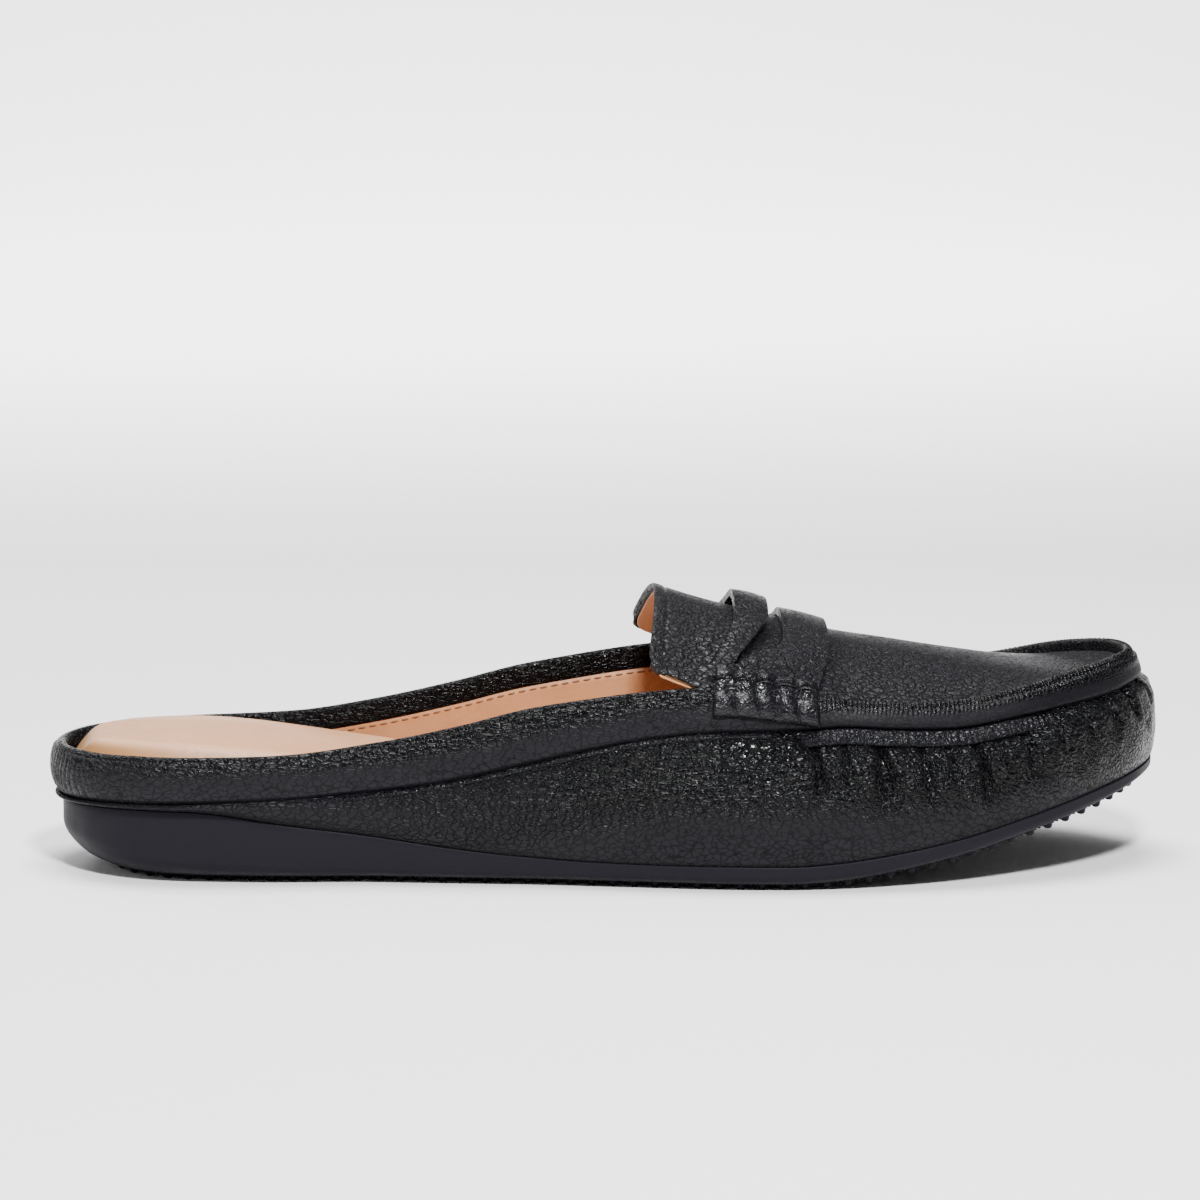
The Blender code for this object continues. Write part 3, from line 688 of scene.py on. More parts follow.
def make_grain_group():
    """Pebbled leather grain: domed, slanting cells of two sizes between thin creases."""
    group = bpy.data.node_groups.new("pebble_grain", "ShaderNodeTree")
    for name, value in (("Vector", None), ("Cells", 750.0), ("Valley", 0.3), ("Crumple", 0.3)):
        kind = "NodeSocketVector" if value is None else "NodeSocketFloat"
        socket = group.interface.new_socket(name, in_out="INPUT", socket_type=kind)
        if value is not None:
            socket.default_value = value
    for name in ("Height", "Valleys", "Patches"):
        group.interface.new_socket(name, in_out="OUTPUT", socket_type="NodeSocketFloat")
    given = group.nodes.new("NodeGroupInput").outputs
    result = group.nodes.new("NodeGroupOutput").inputs
    slant = add_node(group, "Mapping", n0=given["Vector"], n2=GRAIN_TURN, n3=GRAIN_STRETCH)
    slanted = slant.outputs[0]
    warp_scale = maths(group, "MULTIPLY", given["Cells"], 0.7)
    warp = add_node(group, "TexNoise", Vector=slanted, Scale=warp_scale, Detail=2)
    spread = add_node(group, "VectorMath", {"operation": "SUBTRACT"}, n0=warp.outputs["Color"],
                      n1=(0.5, 0.5, 0.5))
    reach = maths(group, "DIVIDE", 1.3, given["Cells"])
    bent = add_node(group, "VectorMath", {"operation": "SCALE"}, n0=spread.outputs[0], Scale=reach)
    moved = add_node(group, "VectorMath", {"operation": "ADD"}, n0=slanted,
                     n1=bent.outputs[0]).outputs[0]
    domes = []
    for size in (1.0, 2.1):
        scale = maths(group, "MULTIPLY", given["Cells"], size)
        edges = add_node(group, "TexVoronoi", {"feature": "DISTANCE_TO_EDGE"}, Vector=moved,
                         Scale=scale).outputs["Distance"]
        near = add_node(group, "MapRange", n0=edges, n1=0.0, n2=given["Valley"], n3=1.0,
                        n4=0.0).outputs[0]
        domes.append(maths(group, "SUBTRACT", 1.0, maths(group, "POWER", near, 2.4)))
    crumple_scale = maths(group, "MULTIPLY", given["Cells"], 0.9)
    waves = add_node(group, "TexNoise", Vector=slanted, Scale=crumple_scale, Detail=2,
                     Roughness=0.5)
    height = maths(group, "ADD", maths(group, "MULTIPLY", domes[0], 0.75),
                   maths(group, "MULTIPLY", domes[1], 0.12))
    height = maths(group, "MULTIPLY_ADD", waves.outputs[0], given["Crumple"], height)
    patches = add_node(group, "TexNoise", Vector=given["Vector"], Scale=55, Detail=3)
    group.links.new(height, result["Height"])
    group.links.new(maths(group, "SUBTRACT", 1.0, domes[0]), result["Valleys"])
    group.links.new(patches.outputs[0], result["Patches"])
    return group


GRAIN = make_grain_group()


def make_leather(name, cells, depth, sheen, dull, shine, glossy=None, crumpled=0.3, valley=0.28):
    """Black pebbled leather, its colour darkened in the grain's valleys as painted shade.

    cells is the number of pebbles in a metre and depth their height. sheen and dull are the
    roughness on the pebbles' tops and in the valleys, and shine is how strongly it reflects.
    crumpled is the share of fine wrinkles and valley the width of the creases. glossy gives two
    heights over the seam between which gloss comes in, two places along X between which it
    grows, its share behind them, the roughness added without gloss, and the share of the
    grain's depth left there.
    """
    material, shader = new_material(name, (0.006, 0.006, 0.007), sheen)
    tree = material.node_tree
    coords = add_node(tree, "TexCoord").outputs
    grain = add_node(tree, "Group")
    grain.node_tree = GRAIN
    tree.links.new(coords["Object"], grain.inputs["Vector"])
    grain.inputs["Cells"].default_value = cells
    grain.inputs["Valley"].default_value = valley
    grain.inputs["Crumple"].default_value = crumpled
    painted_valley_shade_and_gloss_darkening = grain.outputs["Valleys"]
    rough = remap(tree, grain.outputs["Valleys"], 0.1, 0.9, sheen, dull)
    patchy = remap(tree, grain.outputs["Patches"], 0.35, 0.65, -0.05, 0.06)
    rough = maths(tree, "ADD", rough, patchy)
    height = grain.outputs["Height"]
    if glossy is not None:
        low, high, rear, front, rear_share, rougher, shallow = glossy
        up = add_node(tree, "SeparateXYZ", n0=coords["UV"]).outputs[1]
        ahead = add_node(tree, "SeparateXYZ", n0=coords["Object"]).outputs[0]
        gloss = maths(tree, "MULTIPLY", remap(tree, up, low, high),
                      remap(tree, ahead, rear, front, rear_share, 1))
        rough = maths(tree, "ADD", rough, remap(tree, gloss, 0, 1, rougher, 0))
        height = maths(tree, "MULTIPLY", height, remap(tree, gloss, 0, 1, shallow, 1))
        painted_valley_shade_and_gloss_darkening = maths(tree, "MAXIMUM", painted_valley_shade_and_gloss_darkening, maths(tree, "MULTIPLY", gloss, 0.9))
    # Base colour: painted shade in the grain's valleys, which go to the darker colour; the colour
    # is also darker through the glossy zone.
    tree.links.new(blend_colours(tree, painted_valley_shade_and_gloss_darkening, (0.0058, 0.0055, 0.0080),
                                 (0.0008, 0.0008, 0.0012)), shader.inputs["Base Color"])
    tree.links.new(rough, shader.inputs["Roughness"])
    relief = add_node(tree, "Bump", Strength=1.0, Distance=depth, Height=height)
    tree.links.new(relief.outputs[0], shader.inputs["Normal"])
    shader.inputs["Specular IOR Level"].default_value = shine
    return material


panel_leather = make_leather(
    "panel_leather", cells=680, depth=0.00050, sheen=0.11, dull=0.40, shine=0.15,
    glossy=(-0.026, -0.012, -0.08, 0.01, 0.3, 0.40, 0.2), crumpled=0.18, valley=0.24)
lower_panel = lay_grid("lower_panel", PANEL_COLUMNS, PANEL_ROWS + INNER_ROWS + 2, panel_form)
finish_piece(lower_panel, panel_leather, "black_leather", "upper")

# Collar band and apron roll: one leather strip sewn to the lower panel's edge and turned in over
# the rim. Behind the beef rolls it is a soft padded band. Round the toe it stands up as a rolled
# seam, smooth at the side, whose top is drawn into fine ticks by the stitches.
RIM_RADIUS = 0.0012
TURN_IN = 0.0042
ROLL_RAISE = 0.0004
TICK_PITCH = 0.00100
TICK_DEPTH = 0.00052
PADDING = 0.0003
FOLD_PITCH = 0.0019
FOLD_DEPTH = 0.00022
BAND_WAVE = 0.006
BAND_START = math.acos(1 - 2 * 0.625) / (2 * math.pi)
BAND_OVERLAP = 0.004
OUT_ROWS = 16
OVER_ROWS = 10
IN_ROWS = 4
BAND_ROWS = OUT_ROWS + OVER_ROWS + IN_ROWS + 3

ALL_ROUND = Course(AROUND_STEPS)
RIM_PLAN = ALL_ROUND.plan(wall_face(ALL_ROUND, np.full(len(AROUND_STEPS), 2.0)))
RIM_RUN = np.concatenate([[0], np.cumsum(np.linalg.norm(np.diff(RIM_PLAN, axis=0), axis=1))])


def ticks(run, points, pitch, unevenness):
    """Ridges of 0 to 1 across the run, drawn in between the stitches, a little uneven."""
    wander = unevenness * crumple(points, 3.5 * pitch, 2)
    return np.abs(np.sin(np.pi * (run / pitch + wander))) ** 0.7


def wall_inside(course, level):
    """Offset of the wall's inner face, which hangs straight under the rim's round edge."""
    rim = wall_face(course, np.full(len(level), 2.0))
    return np.minimum(wall_face(course, level) - 2 * LEATHER, rim - 2 * RIM_RADIUS)


def band_form(first, last):
    """Closed strip between two values of around: up the outside, over the rim and down."""
    def form(u, v):
        around = first + (last - first) * u
        course = Course(around)
        front = front_share(course)
        row = np.rint(v * BAND_ROWS).astype(int)
        out = np.clip(row / OUT_ROWS, 0, 1)
        level = 1 + out ** 0.8
        turn = np.pi * np.clip((row - OUT_ROWS) / OVER_ROWS, 0, 1)
        sunk = TURN_IN * np.clip((row - OUT_ROWS - OVER_ROWS) / IN_ROWS, 0, 1)
        back = row > OUT_ROWS + OVER_ROWS + IN_ROWS
        rim = wall_face(course, np.full(len(u), 2.0))
        x = course.plan(rim)[:, 0]
        foot, seam, top = wall_heights(course, x)
        run = np.sign(around) * np.interp(np.abs(around), AROUND_STEPS, RIM_RUN)

        over = row > OUT_ROWS
        face = wall_face(course, level)
        offset = np.where(over, rim - RIM_RADIUS + RIM_RADIUS * np.cos(turn), face)
        flat = wall_point(course, face, level)
        height = np.where(over, top + RIM_RADIUS * (np.sin(turn) - 1), flat[:, 2])
        height = np.minimum(height, top - RIM_RADIUS + RIM_RADIUS * np.sin(turn))

        drop = height - seam
        share = np.clip(drop / np.maximum(top - seam, 0.0001), 0, 1)
        padding = PADDING * np.sin(np.pi * share) ** 0.7
        dip = -GROOVE_DEPTH * front * bump(drop, 0, GROOVE_WIDTH)
        near_top = smooth(height, top - 0.0026, top - 0.0012) * (1 - smooth(turn, 1.2, 1.9))
        points = np.column_stack([course.plan(offset), height])
        fine = ticks(run, points, TICK_PITCH, 0.8)
        gathers = front * TICK_DEPTH * (fine - 0.6) * near_top
        at_heel = (1 - smooth(course.along, 0.01, 0.06)) * (1 - front)
        folds = FOLD_DEPTH * at_heel * ticks(run, points, FOLD_PITCH, 0.7)
        waves = (1 - front) * FOLD_DEPTH * crumple(points, BAND_WAVE, 4)
        swell = np.where(over, 0, padding * (1 - 0.5 * front) + dip)
        rise = front * ROLL_RAISE * np.sin(turn) + gathers * np.sin(turn)
        out_by = swell + (gathers + folds + waves) * np.where(over, np.cos(turn), 1)

        inner = wall_inside(course, np.full(len(u), 1.9)) - 0.0003
        down = row > OUT_ROWS + OVER_ROWS
        offset = np.where(down, inner, offset + out_by)
        height = np.where(down, top - RIM_RADIUS - sunk, height + rise)
        step = row - OUT_ROWS - OVER_ROWS - IN_ROWS
        offset = np.where(back, rim - 1.5 * LEATHER, offset)
        height = np.where(back & (step == 1), top - RIM_RADIUS - TURN_IN, height)
        height = np.where(back & (step == 2), np.maximum(seam, top - 2 * TURN_IN), height)
        plan = course.plan(offset)
        placed = np.column_stack([plan, height])
        sunk = 0.00015 + (GROOVE_DEPTH - 0.00015) * front
        base = wall_point(course, wall_face(course, np.ones(len(u))) - sunk, np.ones(len(u)))
        placed = np.where((row == BAND_ROWS)[:, None] | (row == 0)[:, None], base, placed)
        return placed, np.column_stack([run, height - seam])
    return form


band_leather = make_leather(
    "collar_leather", cells=680, depth=0.00048, sheen=0.11, dull=0.40, shine=0.16,
    glossy=(0.003, 0.009, -0.11, 0.0, 0.7, 0.36, 0.25), crumpled=0.14, valley=0.20)
roll_leather = make_leather(
    "apron_roll_leather", cells=1100, depth=0.00010, sheen=0.16, dull=0.38, shine=0.15,
    glossy=(0.0025, 0.0045, -0.2, -0.1, 1, 0.30, 0.3))
collar_band = lay_grid("collar_band", 900, BAND_ROWS,
                       band_form(BAND_START + BAND_OVERLAP, -BAND_START - BAND_OVERLAP))
finish_piece(collar_band, band_leather, "black_leather")
apron_roll = lay_grid("apron_roll", 1000, BAND_ROWS, band_form(BAND_START, 1 - BAND_START))
finish_piece(apron_roll, roll_leather, "black_leather")

# Gathered strip: the lower panel's edge where the apron's hand stitching draws it in. It shows
# as a glossy row of ticks between two grooves, from the beef rolls round the toe.
STRIP_ROWS = 12
STRIP_PITCH = 0.00135
STRIP_TICK = 0.00050
STRIP_LUMPS = 0.00040
STRIP_LUMP_SIZE = 0.0028
STRIP_UNDER_SEAM = 0.0002
STRIP_SUNK = 0.0014
STRIP_BACK = 0.0020


def strip_form(first, last, height, swell, tick, pitch, present):
    """Closed strip along the seam between two values of around, bulging between its edges.

    swell is how far its edges and its middle stand out, and present is 0 where it is sunk.
    """
    def form(u, v):
        around = first + (last - first) * u
        course = Course(around)
        row = np.rint(v * (STRIP_ROWS + 3)).astype(int)
        share = np.clip(row / STRIP_ROWS, 0, 1)
        back = row > STRIP_ROWS
        step = np.clip((row - STRIP_ROWS) / 3, 0, 1)
        share = np.where(back, 1 - step, share)
        drop = STRIP_UNDER_SEAM + (height - STRIP_UNDER_SEAM / 2) * share
        x = course.plan(wall_face(course, np.ones(len(u))))[:, 0]
        foot, seam, _ = wall_heights(course, x)
        level = 1 - drop / (seam - foot)
        face = wall_face(course, level)
        run = np.interp(around, AROUND_STEPS, RIM_RUN)
        round_off = np.sin(np.pi * np.clip(share, 0, 1)) ** 0.6
        flat = wall_point(course, face, level)
        lumps = STRIP_LUMPS * crumple(flat, STRIP_LUMP_SIZE, 9)
        fine = tick * (ticks(run, flat, pitch, 0.9) - 0.6) + lumps
        proud = swell[0] + round_off * (swell[1] + fine) - STRIP_SUNK * (1 - present(course))
        offset = face + np.where(back & (step < 1), -STRIP_BACK, proud)
        return wall_point(course, offset, level), np.column_stack([run, -drop])
    return form


strip_leather = make_leather("gathered_leather", cells=900, depth=0.00020, sheen=0.14, dull=0.36,
                             shine=0.17)
gathered_strip = lay_grid(
    "gathered_strip", 1000, STRIP_ROWS + 3,
    strip_form(BAND_START + 0.001, 1 - BAND_START - 0.001, STRIP_HEIGHT, (-0.0009, 0.0010),
               STRIP_TICK, STRIP_PITCH, strip_share))
finish_piece(gathered_strip, strip_leather, "black_leather")


def ridge_share(course):
    """1 along the collar where the panel's edge is gathered, fading toward the heel."""
    return smooth(course.along, 0.13, 0.24)


RIDGE_HEIGHT = 0.0013
RIDGE_TICK = 0.0004
RIDGE_PITCH = 0.00115
RIDGE_START = math.acos(1 - 2 * 0.12) / (2 * math.pi)
RIDGE_END = BAND_START + 0.004
for name, first, last in (("seam_ridge_lateral", RIDGE_START, RIDGE_END),
                          ("seam_ridge_medial", 1 - RIDGE_END, 1 - RIDGE_START)):
    seam_ridge = lay_grid(name, 560, STRIP_ROWS + 3,
                          strip_form(first, last, RIDGE_HEIGHT, (-0.0003, 0.0007), RIDGE_TICK,
                                     RIDGE_PITCH, ridge_share))
    finish_piece(seam_ridge, strip_leather, "black_leather")

# Lining: thin tan leather inside the wall, tucked under the turned-in edge of the collar and
# held by a row of brown stitches.
LINING_TOP = 0.0038
LINING_LEAST = 0.003
LINING_FOOT = 0.001
LINING_ROWS = 14


def lining_form(u, v):
    """Closed thin wall inside the upper, from under the turned-in edge to below the footbed."""
    around = around_at(u)
    course = Course(around)
    row = np.rint(v * (LINING_ROWS * 2 + 2)).astype(int) % (LINING_ROWS * 2 + 2)
    back = row > LINING_ROWS
    share = np.where(back, (2 * LINING_ROWS + 1 - row) / LINING_ROWS, row / LINING_ROWS)
    rim = wall_face(course, np.full(len(u), 2.0))
    foot, seam, top = wall_heights(course, course.plan(rim)[:, 0])
    low = foot + LINING_FOOT
    high = np.maximum(top - RIM_RADIUS - LINING_TOP, low + LINING_LEAST)
    height = low + (high - low) * share
    level = np.where(height < seam, (height - foot) / (seam - foot),
                     1 + (height - seam) / (top - seam))
    offset = wall_inside(course, level) - np.where(back, -0.0002, 0.0001)
    points = np.column_stack([course.plan(offset), height])
    return points, np.column_stack([np.interp(around, AROUND_STEPS, RIM_RUN), height - top])


def make_tan(name, colour, dark, roughness, grain_depth, grain=1500, edge=None):
    """Smooth tan leather with faint pores and mottling.

    edge is a darker colour painted on a padded edge as painted shade, fading out as the y of the
    UVs runs up to 1 on the flat.
    """
    material, shader = new_material(name, colour, roughness)
    tree = material.node_tree
    place = add_node(tree, "TexCoord").outputs["Object"]
    mottle = add_node(tree, "TexNoise", Vector=place, Scale=45, Detail=5)
    share = remap(tree, mottle.outputs[0], 0.35, 0.7)
    shade = blend_colours(tree, share, colour, dark)
    if edge is not None:
        on_top = add_node(tree, "SeparateXYZ", n0=add_node(tree, "UVMap").outputs[0]).outputs[1]
        # Painted shade on the padded edge: the darker edge colour, fading into the tan toward the
        # flat top.
        shade = blend_colours(tree, remap(tree, on_top, 0.72, 1.0), edge, shade)
    tree.links.new(shade, shader.inputs["Base Color"])
    pores = add_node(tree, "TexVoronoi", {"feature": "F1"}, Vector=place, Scale=grain)
    fibres = add_node(tree, "TexNoise", Vector=place, Scale=700, Detail=4)
    height = maths(tree, "ADD", pores.outputs["Distance"], fibres.outputs[0])
    relief = add_node(tree, "Bump", Strength=0.6, Distance=grain_depth, Height=height)
    tree.links.new(relief.outputs[0], shader.inputs["Normal"])
    tree.links.new(remap(tree, fibres.outputs[0], 0.3, 0.7, roughness - 0.05, roughness + 0.07),
                   shader.inputs["Roughness"])
    return material


lining_tan = make_tan("lining_tan", (0.56, 0.26, 0.115), (0.47, 0.20, 0.085), roughness=0.55,
                      grain_depth=0.00006)
lining = lay_grid("lining", 420, LINING_ROWS * 2 + 2, lining_form)
finish_piece(lining, lining_tan, "tan_leather")


def sew(name, path, pitch, length, thickness, material, slot):
    """A row of stitches along a path of points with their outward directions."""
    steps = np.linalg.norm(np.diff(path[0], axis=0), axis=1)
    run = np.concatenate([[0], np.cumsum(steps)])
    bm = bmesh.new()
    for k in range(int(run[-1] / pitch)):
        here, there, out = (
            Vector([np.interp(at, run, column) for column in points.T])
            for at, points in (((k + 0.2) * pitch, path[0]), ((k + 0.2) * pitch + length, path[0]),
                               ((k + 0.5) * pitch, path[1])))
        ahead = (there - here).normalized()
        side = out.cross(ahead).normalized()
        turned = Matrix((ahead, side, ahead.cross(side))).transposed().to_4x4()
        size = Matrix.Diagonal((length / 2, thickness / 2, thickness / 2, 1))
        centre = (here + there) / 2 + Vector(SHOE_PLACE)
        bmesh.ops.create_uvsphere(bm, u_segments=8, v_segments=6, radius=1,
                                  matrix=Matrix.Translation(centre) @ turned @ size)
    mesh = bpy.data.meshes.new(name)
    bm.to_mesh(mesh)
    bm.free()
    mesh.shade_smooth()
    piece = bpy.data.objects.new(name, mesh)
    bpy.context.scene.collection.objects.link(piece)
    finish_piece(piece, material, slot)


STITCH_DROP = 0.0064
STITCH_PITCH = 0.0026
STITCH_LENGTH = 0.0019
THREAD_THICKNESS = 0.0005
brown_thread, shader = new_material("brown_thread", (0.20, 0.075, 0.025), 0.6)


def lining_seam(first, last):
    """Path of the lining's stitches between two values of around."""
    around = np.linspace(first, last, 300)
    course = Course(around)
    rim = wall_face(course, np.full(300, 2.0))
    foot, seam, top = wall_heights(course, course.plan(rim)[:, 0])
    height = top - STITCH_DROP
    level = np.where(height < seam, (height - foot) / (seam - foot),
                     1 + (height - seam) / (top - seam))
    offset = wall_inside(course, level) - 0.0001
    inward = np.column_stack([-course.outward, np.zeros(300)])
    return np.column_stack([course.plan(offset), height]), inward


OPEN_START = math.acos(1 - 2 * 0.24) / (2 * math.pi)
OPEN_END = math.acos(1 - 2 * 0.56) / (2 * math.pi)
for name, first, last in (("lining_stitches_outer", OPEN_START, OPEN_END),
                          ("lining_stitches_inner", 1 - OPEN_END, 1 - OPEN_START)):
    sew(name, lining_seam(first, last), STITCH_PITCH, STITCH_LENGTH, THREAD_THICKNESS,
        brown_thread, "tan_leather")

# Footbed: a foam wedge under smooth tan leather, with a softly padded edge painted a darker brown
# as painted shade. It fills the heel and runs down to the toe inside the upper.
FOOTBED_HEIGHT = 0.0132
FOOTBED_CROWN = 0.0014
FOOTBED_CLEARANCE = 0.0008
CROWN_START = 0.002
CROWN_REACH = 0.022
PAD_DROP = 0.0060
PAD_WIDTH = 0.0074
PAD_ROUNDNESS = 1.7
UNDER_FOOTBED = 0.0004
FOOTBED_SIDE_ROWS = 6
FOOTBED_TOP_ROWS = 26

FOOTBED = Sections(
    "along  height",
    (0.00, 1.050),
    (0.05, 1.070),
    (0.12, 1.060),
    (0.21, 1.140),
    (0.29, 1.140),
    (0.40, 0.880),
    (0.50, 0.570),
    (0.60, 0.370),
    (0.70, 0.340),
    (1.00, 0.330),
)


def footbed_top(x):
    """Height of the footbed's top along its edge."""
    return sole_top(x) + FOOTBED_HEIGHT * FOOTBED.at("height", along_at(x))


def footbed_form(u, v):
    """Closed wedge: bottom middle, up the side, then inward over the padded edge.

    The y of its UVs grows from 0 at the edge to 1 where the padding is full.
    """
    rows = FOOTBED_SIDE_ROWS + FOOTBED_TOP_ROWS
    row = np.rint(v * (rows + 1)).astype(int) - 1
    share = np.clip(row / FOOTBED_SIDE_ROWS, 0, 1)
    inward = np.clip((row - FOOTBED_SIDE_ROWS) / FOOTBED_TOP_ROWS, 0, 1) ** 1.6

    def edge(around):
        course = Course(around)
        level = np.zeros(len(around))
        for _ in range(4):
            plan = course.plan(wall_inside(course, level) - FOOTBED_CLEARANCE)
            foot, seam, rim = wall_heights(course, plan[:, 0])
            low = foot + UNDER_FOOTBED
            height = low + share * (footbed_top(plan[:, 0]) - PAD_DROP - low)
            level = np.where(height < seam, (height - foot) / (seam - foot),
                             1 + (height - seam) / (rim - seam))
        return np.column_stack([plan, height])

    around = around_at(u)
    here, there = edge(around), edge(1 - around)
    middle = (here + there) / 2
    inward = np.where(row < 0, 1, inward)
    points = here + inward[:, None] * (middle - here)
    ahead = points[:, 0] - here[:, 0].min()
    reach = np.minimum(np.linalg.norm(points[:, :2] - here[:, :2], axis=1), ahead)
    full = 1 - (1 - np.clip(reach / PAD_WIDTH, 0, 1)) ** PAD_ROUNDNESS
    crown = FOOTBED_CROWN * smooth(reach, CROWN_START, CROWN_REACH)
    top = footbed_top(points[:, 0]) - PAD_DROP * (1 - full) + crown
    points[:, 2] = np.where(row >= FOOTBED_SIDE_ROWS, top, points[:, 2])
    return points, np.column_stack([points[:, 0], full])


# The edge colour here is painted shade on the footbed's padded edge.
insole_tan = make_tan("footbed_tan", (0.55, 0.285, 0.152), (0.49, 0.245, 0.125), roughness=0.42,
                      grain_depth=0.00003, grain=1900, edge=(0.33, 0.16, 0.060))
footbed = lay_grid("footbed", 360, FOOTBED_SIDE_ROWS + FOOTBED_TOP_ROWS + 1, footbed_form)
finish_piece(footbed, insole_tan, "tan_leather", "insole")

# Plug and tongue: one pebbled piece over the instep. Its free end is the tongue, with a folded
# and stitched edge and a tan lining below.
INSTEP_HEIGHT = 0.0594
PLUG_THICKNESS = 0.0017
PLUG_INTO_RIM = 0.0008
TONGUE_START = 0.539
TONGUE_BOW = 0.0028
TONGUE_FAR_BOW = 0.0014
TONGUE_CORNER = 0.0022
TONGUE_RIM = 0.0011
LINING_INSET = 0.0006
LINING_OVERLAP = 0.0001
LINING_THICKNESS = 0.0005
TONGUE_FREE = 0.5830
TONGUE_FOLD = 0.0030
FOLD_GROOVE = 0.0003
FOLD_WIDTH = 0.0004
FOLD_LIP = 0.00012
EDGE_ROUND = 0.0009
EDGE_FALL = 0.0006
STEEPEST = 1.75
PLUG_ROWS = 240
PLUG_COLUMNS = 140

PLUG = Sections(
    "along  crest  edge    inset",
    (0.51, 1.040, 0.220, 0.014),
    (0.54, 1.000, 0.118, 0.012),
    (0.56, 0.971, 0.055, 0.010),
    (0.58, 0.943, 0.000, 0.002),
    (0.595, 0.924, -0.007, 0.000),
    (0.655, 0.854, -0.010, 0.000),
    (0.695, 0.798, -0.015, 0.000),
    (0.755, 0.717, -0.020, 0.000),
    (0.815, 0.623, -0.025, 0.000),
    (0.865, 0.534, -0.032, 0.000),
    (0.92, 0.458, -0.045, 0.000),
    (0.96, 0.419, -0.054, 0.000),
    (1.00, 0.380, -0.057, 0.000),
)
SEWN_PLAN = ALL_ROUND.plan(wall_face(ALL_ROUND, np.full(len(AROUND_STEPS), 2.0)) - PLUG_INTO_RIM)
HALF = len(AROUND_STEPS) // 2
SEWN_OUTER, SEWN_INNER = SEWN_PLAN[:HALF + 1], SEWN_PLAN[:HALF - 1:-1]
PLUG_TIP = SEWN_PLAN[HALF, 0]


def plug_span(x):
    """Middle and half width of the plug at x."""
    outer = np.interp(x, SEWN_OUTER[:, 0], SEWN_OUTER[:, 1])
    inner = np.interp(x, SEWN_INNER[:, 0], SEWN_INNER[:, 1])
    inset = BALL_WIDTH * PLUG.at("inset", along_at(x))
    return (outer + inner) / 2, (inner - outer) / 2 - inset


def plug_point(x, across, rise=0.0):
    """Points on top of the plug or tongue: across runs from -1 outside to 1 inside."""
    along = along_at(x)
    middle, half = plug_span(x)
    top = sole_top(x)
    crest = top + INSTEP_HEIGHT * PLUG.at("crest", along)
    rim = top + WALL_HEIGHT * (LEVELS.at("rim", along) + PLUG.at("edge", along))
    edge = rim + WALL_HEIGHT * LEVELS.at("inner", along) * np.maximum(0, across) ** 2
    height = crest + (edge - crest) * across ** 2 + rise
    return np.column_stack([x, middle + across * half, height])


def tongue_edge(across):
    """x of the tongue's free end."""
    bow = TONGUE_BOW * across ** 2 + TONGUE_FAR_BOW * np.maximum(0, across)
    return TONGUE_START * SOLE_LENGTH - bow + TONGUE_CORNER * across ** 30


def edge_distance(x, across):
    """Metres from the tongue's free edges, large past the point where its sides are sewn."""
    _, half = plug_span(x)
    side = 1.35 * (1 - np.abs(across)) * half
    side += 0.02 * smooth(along_at(x), TONGUE_FREE, TONGUE_FREE + 0.02)
    back = np.maximum(0, x - tongue_edge(across))
    near = np.clip(1 - np.minimum(side, back) / TONGUE_CORNER, 0, 1)
    far = np.clip(1 - np.maximum(side, back) / TONGUE_CORNER, 0, 1)
    return TONGUE_CORNER * (1 - np.hypot(near, far)) + np.maximum(
        0, np.minimum(side, back) - TONGUE_CORNER)


def plug_form(inset, side_inset, drop):
    """Sheet over the vamp: inset from the tongue's free edges, and dropped below the top."""
    def form(u, v):
        across = np.sin(np.pi / 2 * (2 * v - 1))
        row = 0.35 * u + 0.65 * u ** 2
        start = tongue_edge(across) + inset
        x = start + (PLUG_TIP - start) * row
        _, half = plug_span(x)
        across = across * (1 - side_inset / np.maximum(half, 0.002))
        away = edge_distance(x, across)
        rounding = -EDGE_FALL * (1 - np.clip(away / EDGE_ROUND, 0, 1)) ** 2
        groove = -FOLD_GROOVE * bump(away, TONGUE_FOLD, FOLD_WIDTH)
        lip = FOLD_LIP * (1 - smooth(away, TONGUE_FOLD - 1.5 * FOLD_WIDTH, TONGUE_FOLD))
        relief = (rounding + groove + lip) if drop == 0 else 0
        step = plug_point(x, across + 0.01) - plug_point(x, across - 0.01)
        slope = step[:, 2] / np.maximum(step[:, 1], MERGE)
        steep = np.minimum(np.hypot(1, slope), STEEPEST)
        points = plug_point(x, across, relief - drop * steep)
        return points, np.column_stack([x, points[:, 1]])
    return form


def thicken(piece, thickness, offset):
    """Thickness for an open sheet: offset -1 grows below it, 1 above it."""
    solidify = piece.modifiers.new("Thickness", "SOLIDIFY")
    solidify.thickness = thickness
    solidify.offset = offset
    solidify.use_even_offset = True


plug_leather = make_leather("plug_leather", cells=640, depth=0.00085, sheen=0.33, dull=0.66,
                            shine=0.27, crumpled=0.12, valley=0.19)
plug = lay_grid("plug_and_tongue", PLUG_ROWS, PLUG_COLUMNS, plug_form(0, 0, 0), closed=False)
thicken(plug, PLUG_THICKNESS, -1)
finish_piece(plug, plug_leather, "black_leather")
tongue_lining = lay_grid(
    "tongue_lining", 120, 70,
    plug_form(TONGUE_RIM, LINING_INSET, PLUG_THICKNESS - LINING_OVERLAP), closed=False)
thicken(tongue_lining, LINING_THICKNESS, -1)
finish_piece(tongue_lining, lining_tan, "tan_leather")

# Saddle strap: a band of the same leather over the plug, its slot leaving a raised rear bar.
# Both ends are whipped to the rim under the beef rolls.
STRAP_WIDTH = 0.0216
STRAP_THICKNESS = 0.0018
STRAP_REAR_SWING = 0.0068
STRAP_FRONT_SWING = 0.0040
STRAP_LIFT = 0.0017
STRAP_DIVE = 0.0017
STRAP_START = 0.610
STRAP_EDGE = 0.0006
STRAP_CROWN = 0.0003
ROLL_OVER_PLUG = 0.0006
GAP = 0.0004
REAR_ROWS = 14
FRONT_ROWS = 18
STRAP_COLUMNS = 150

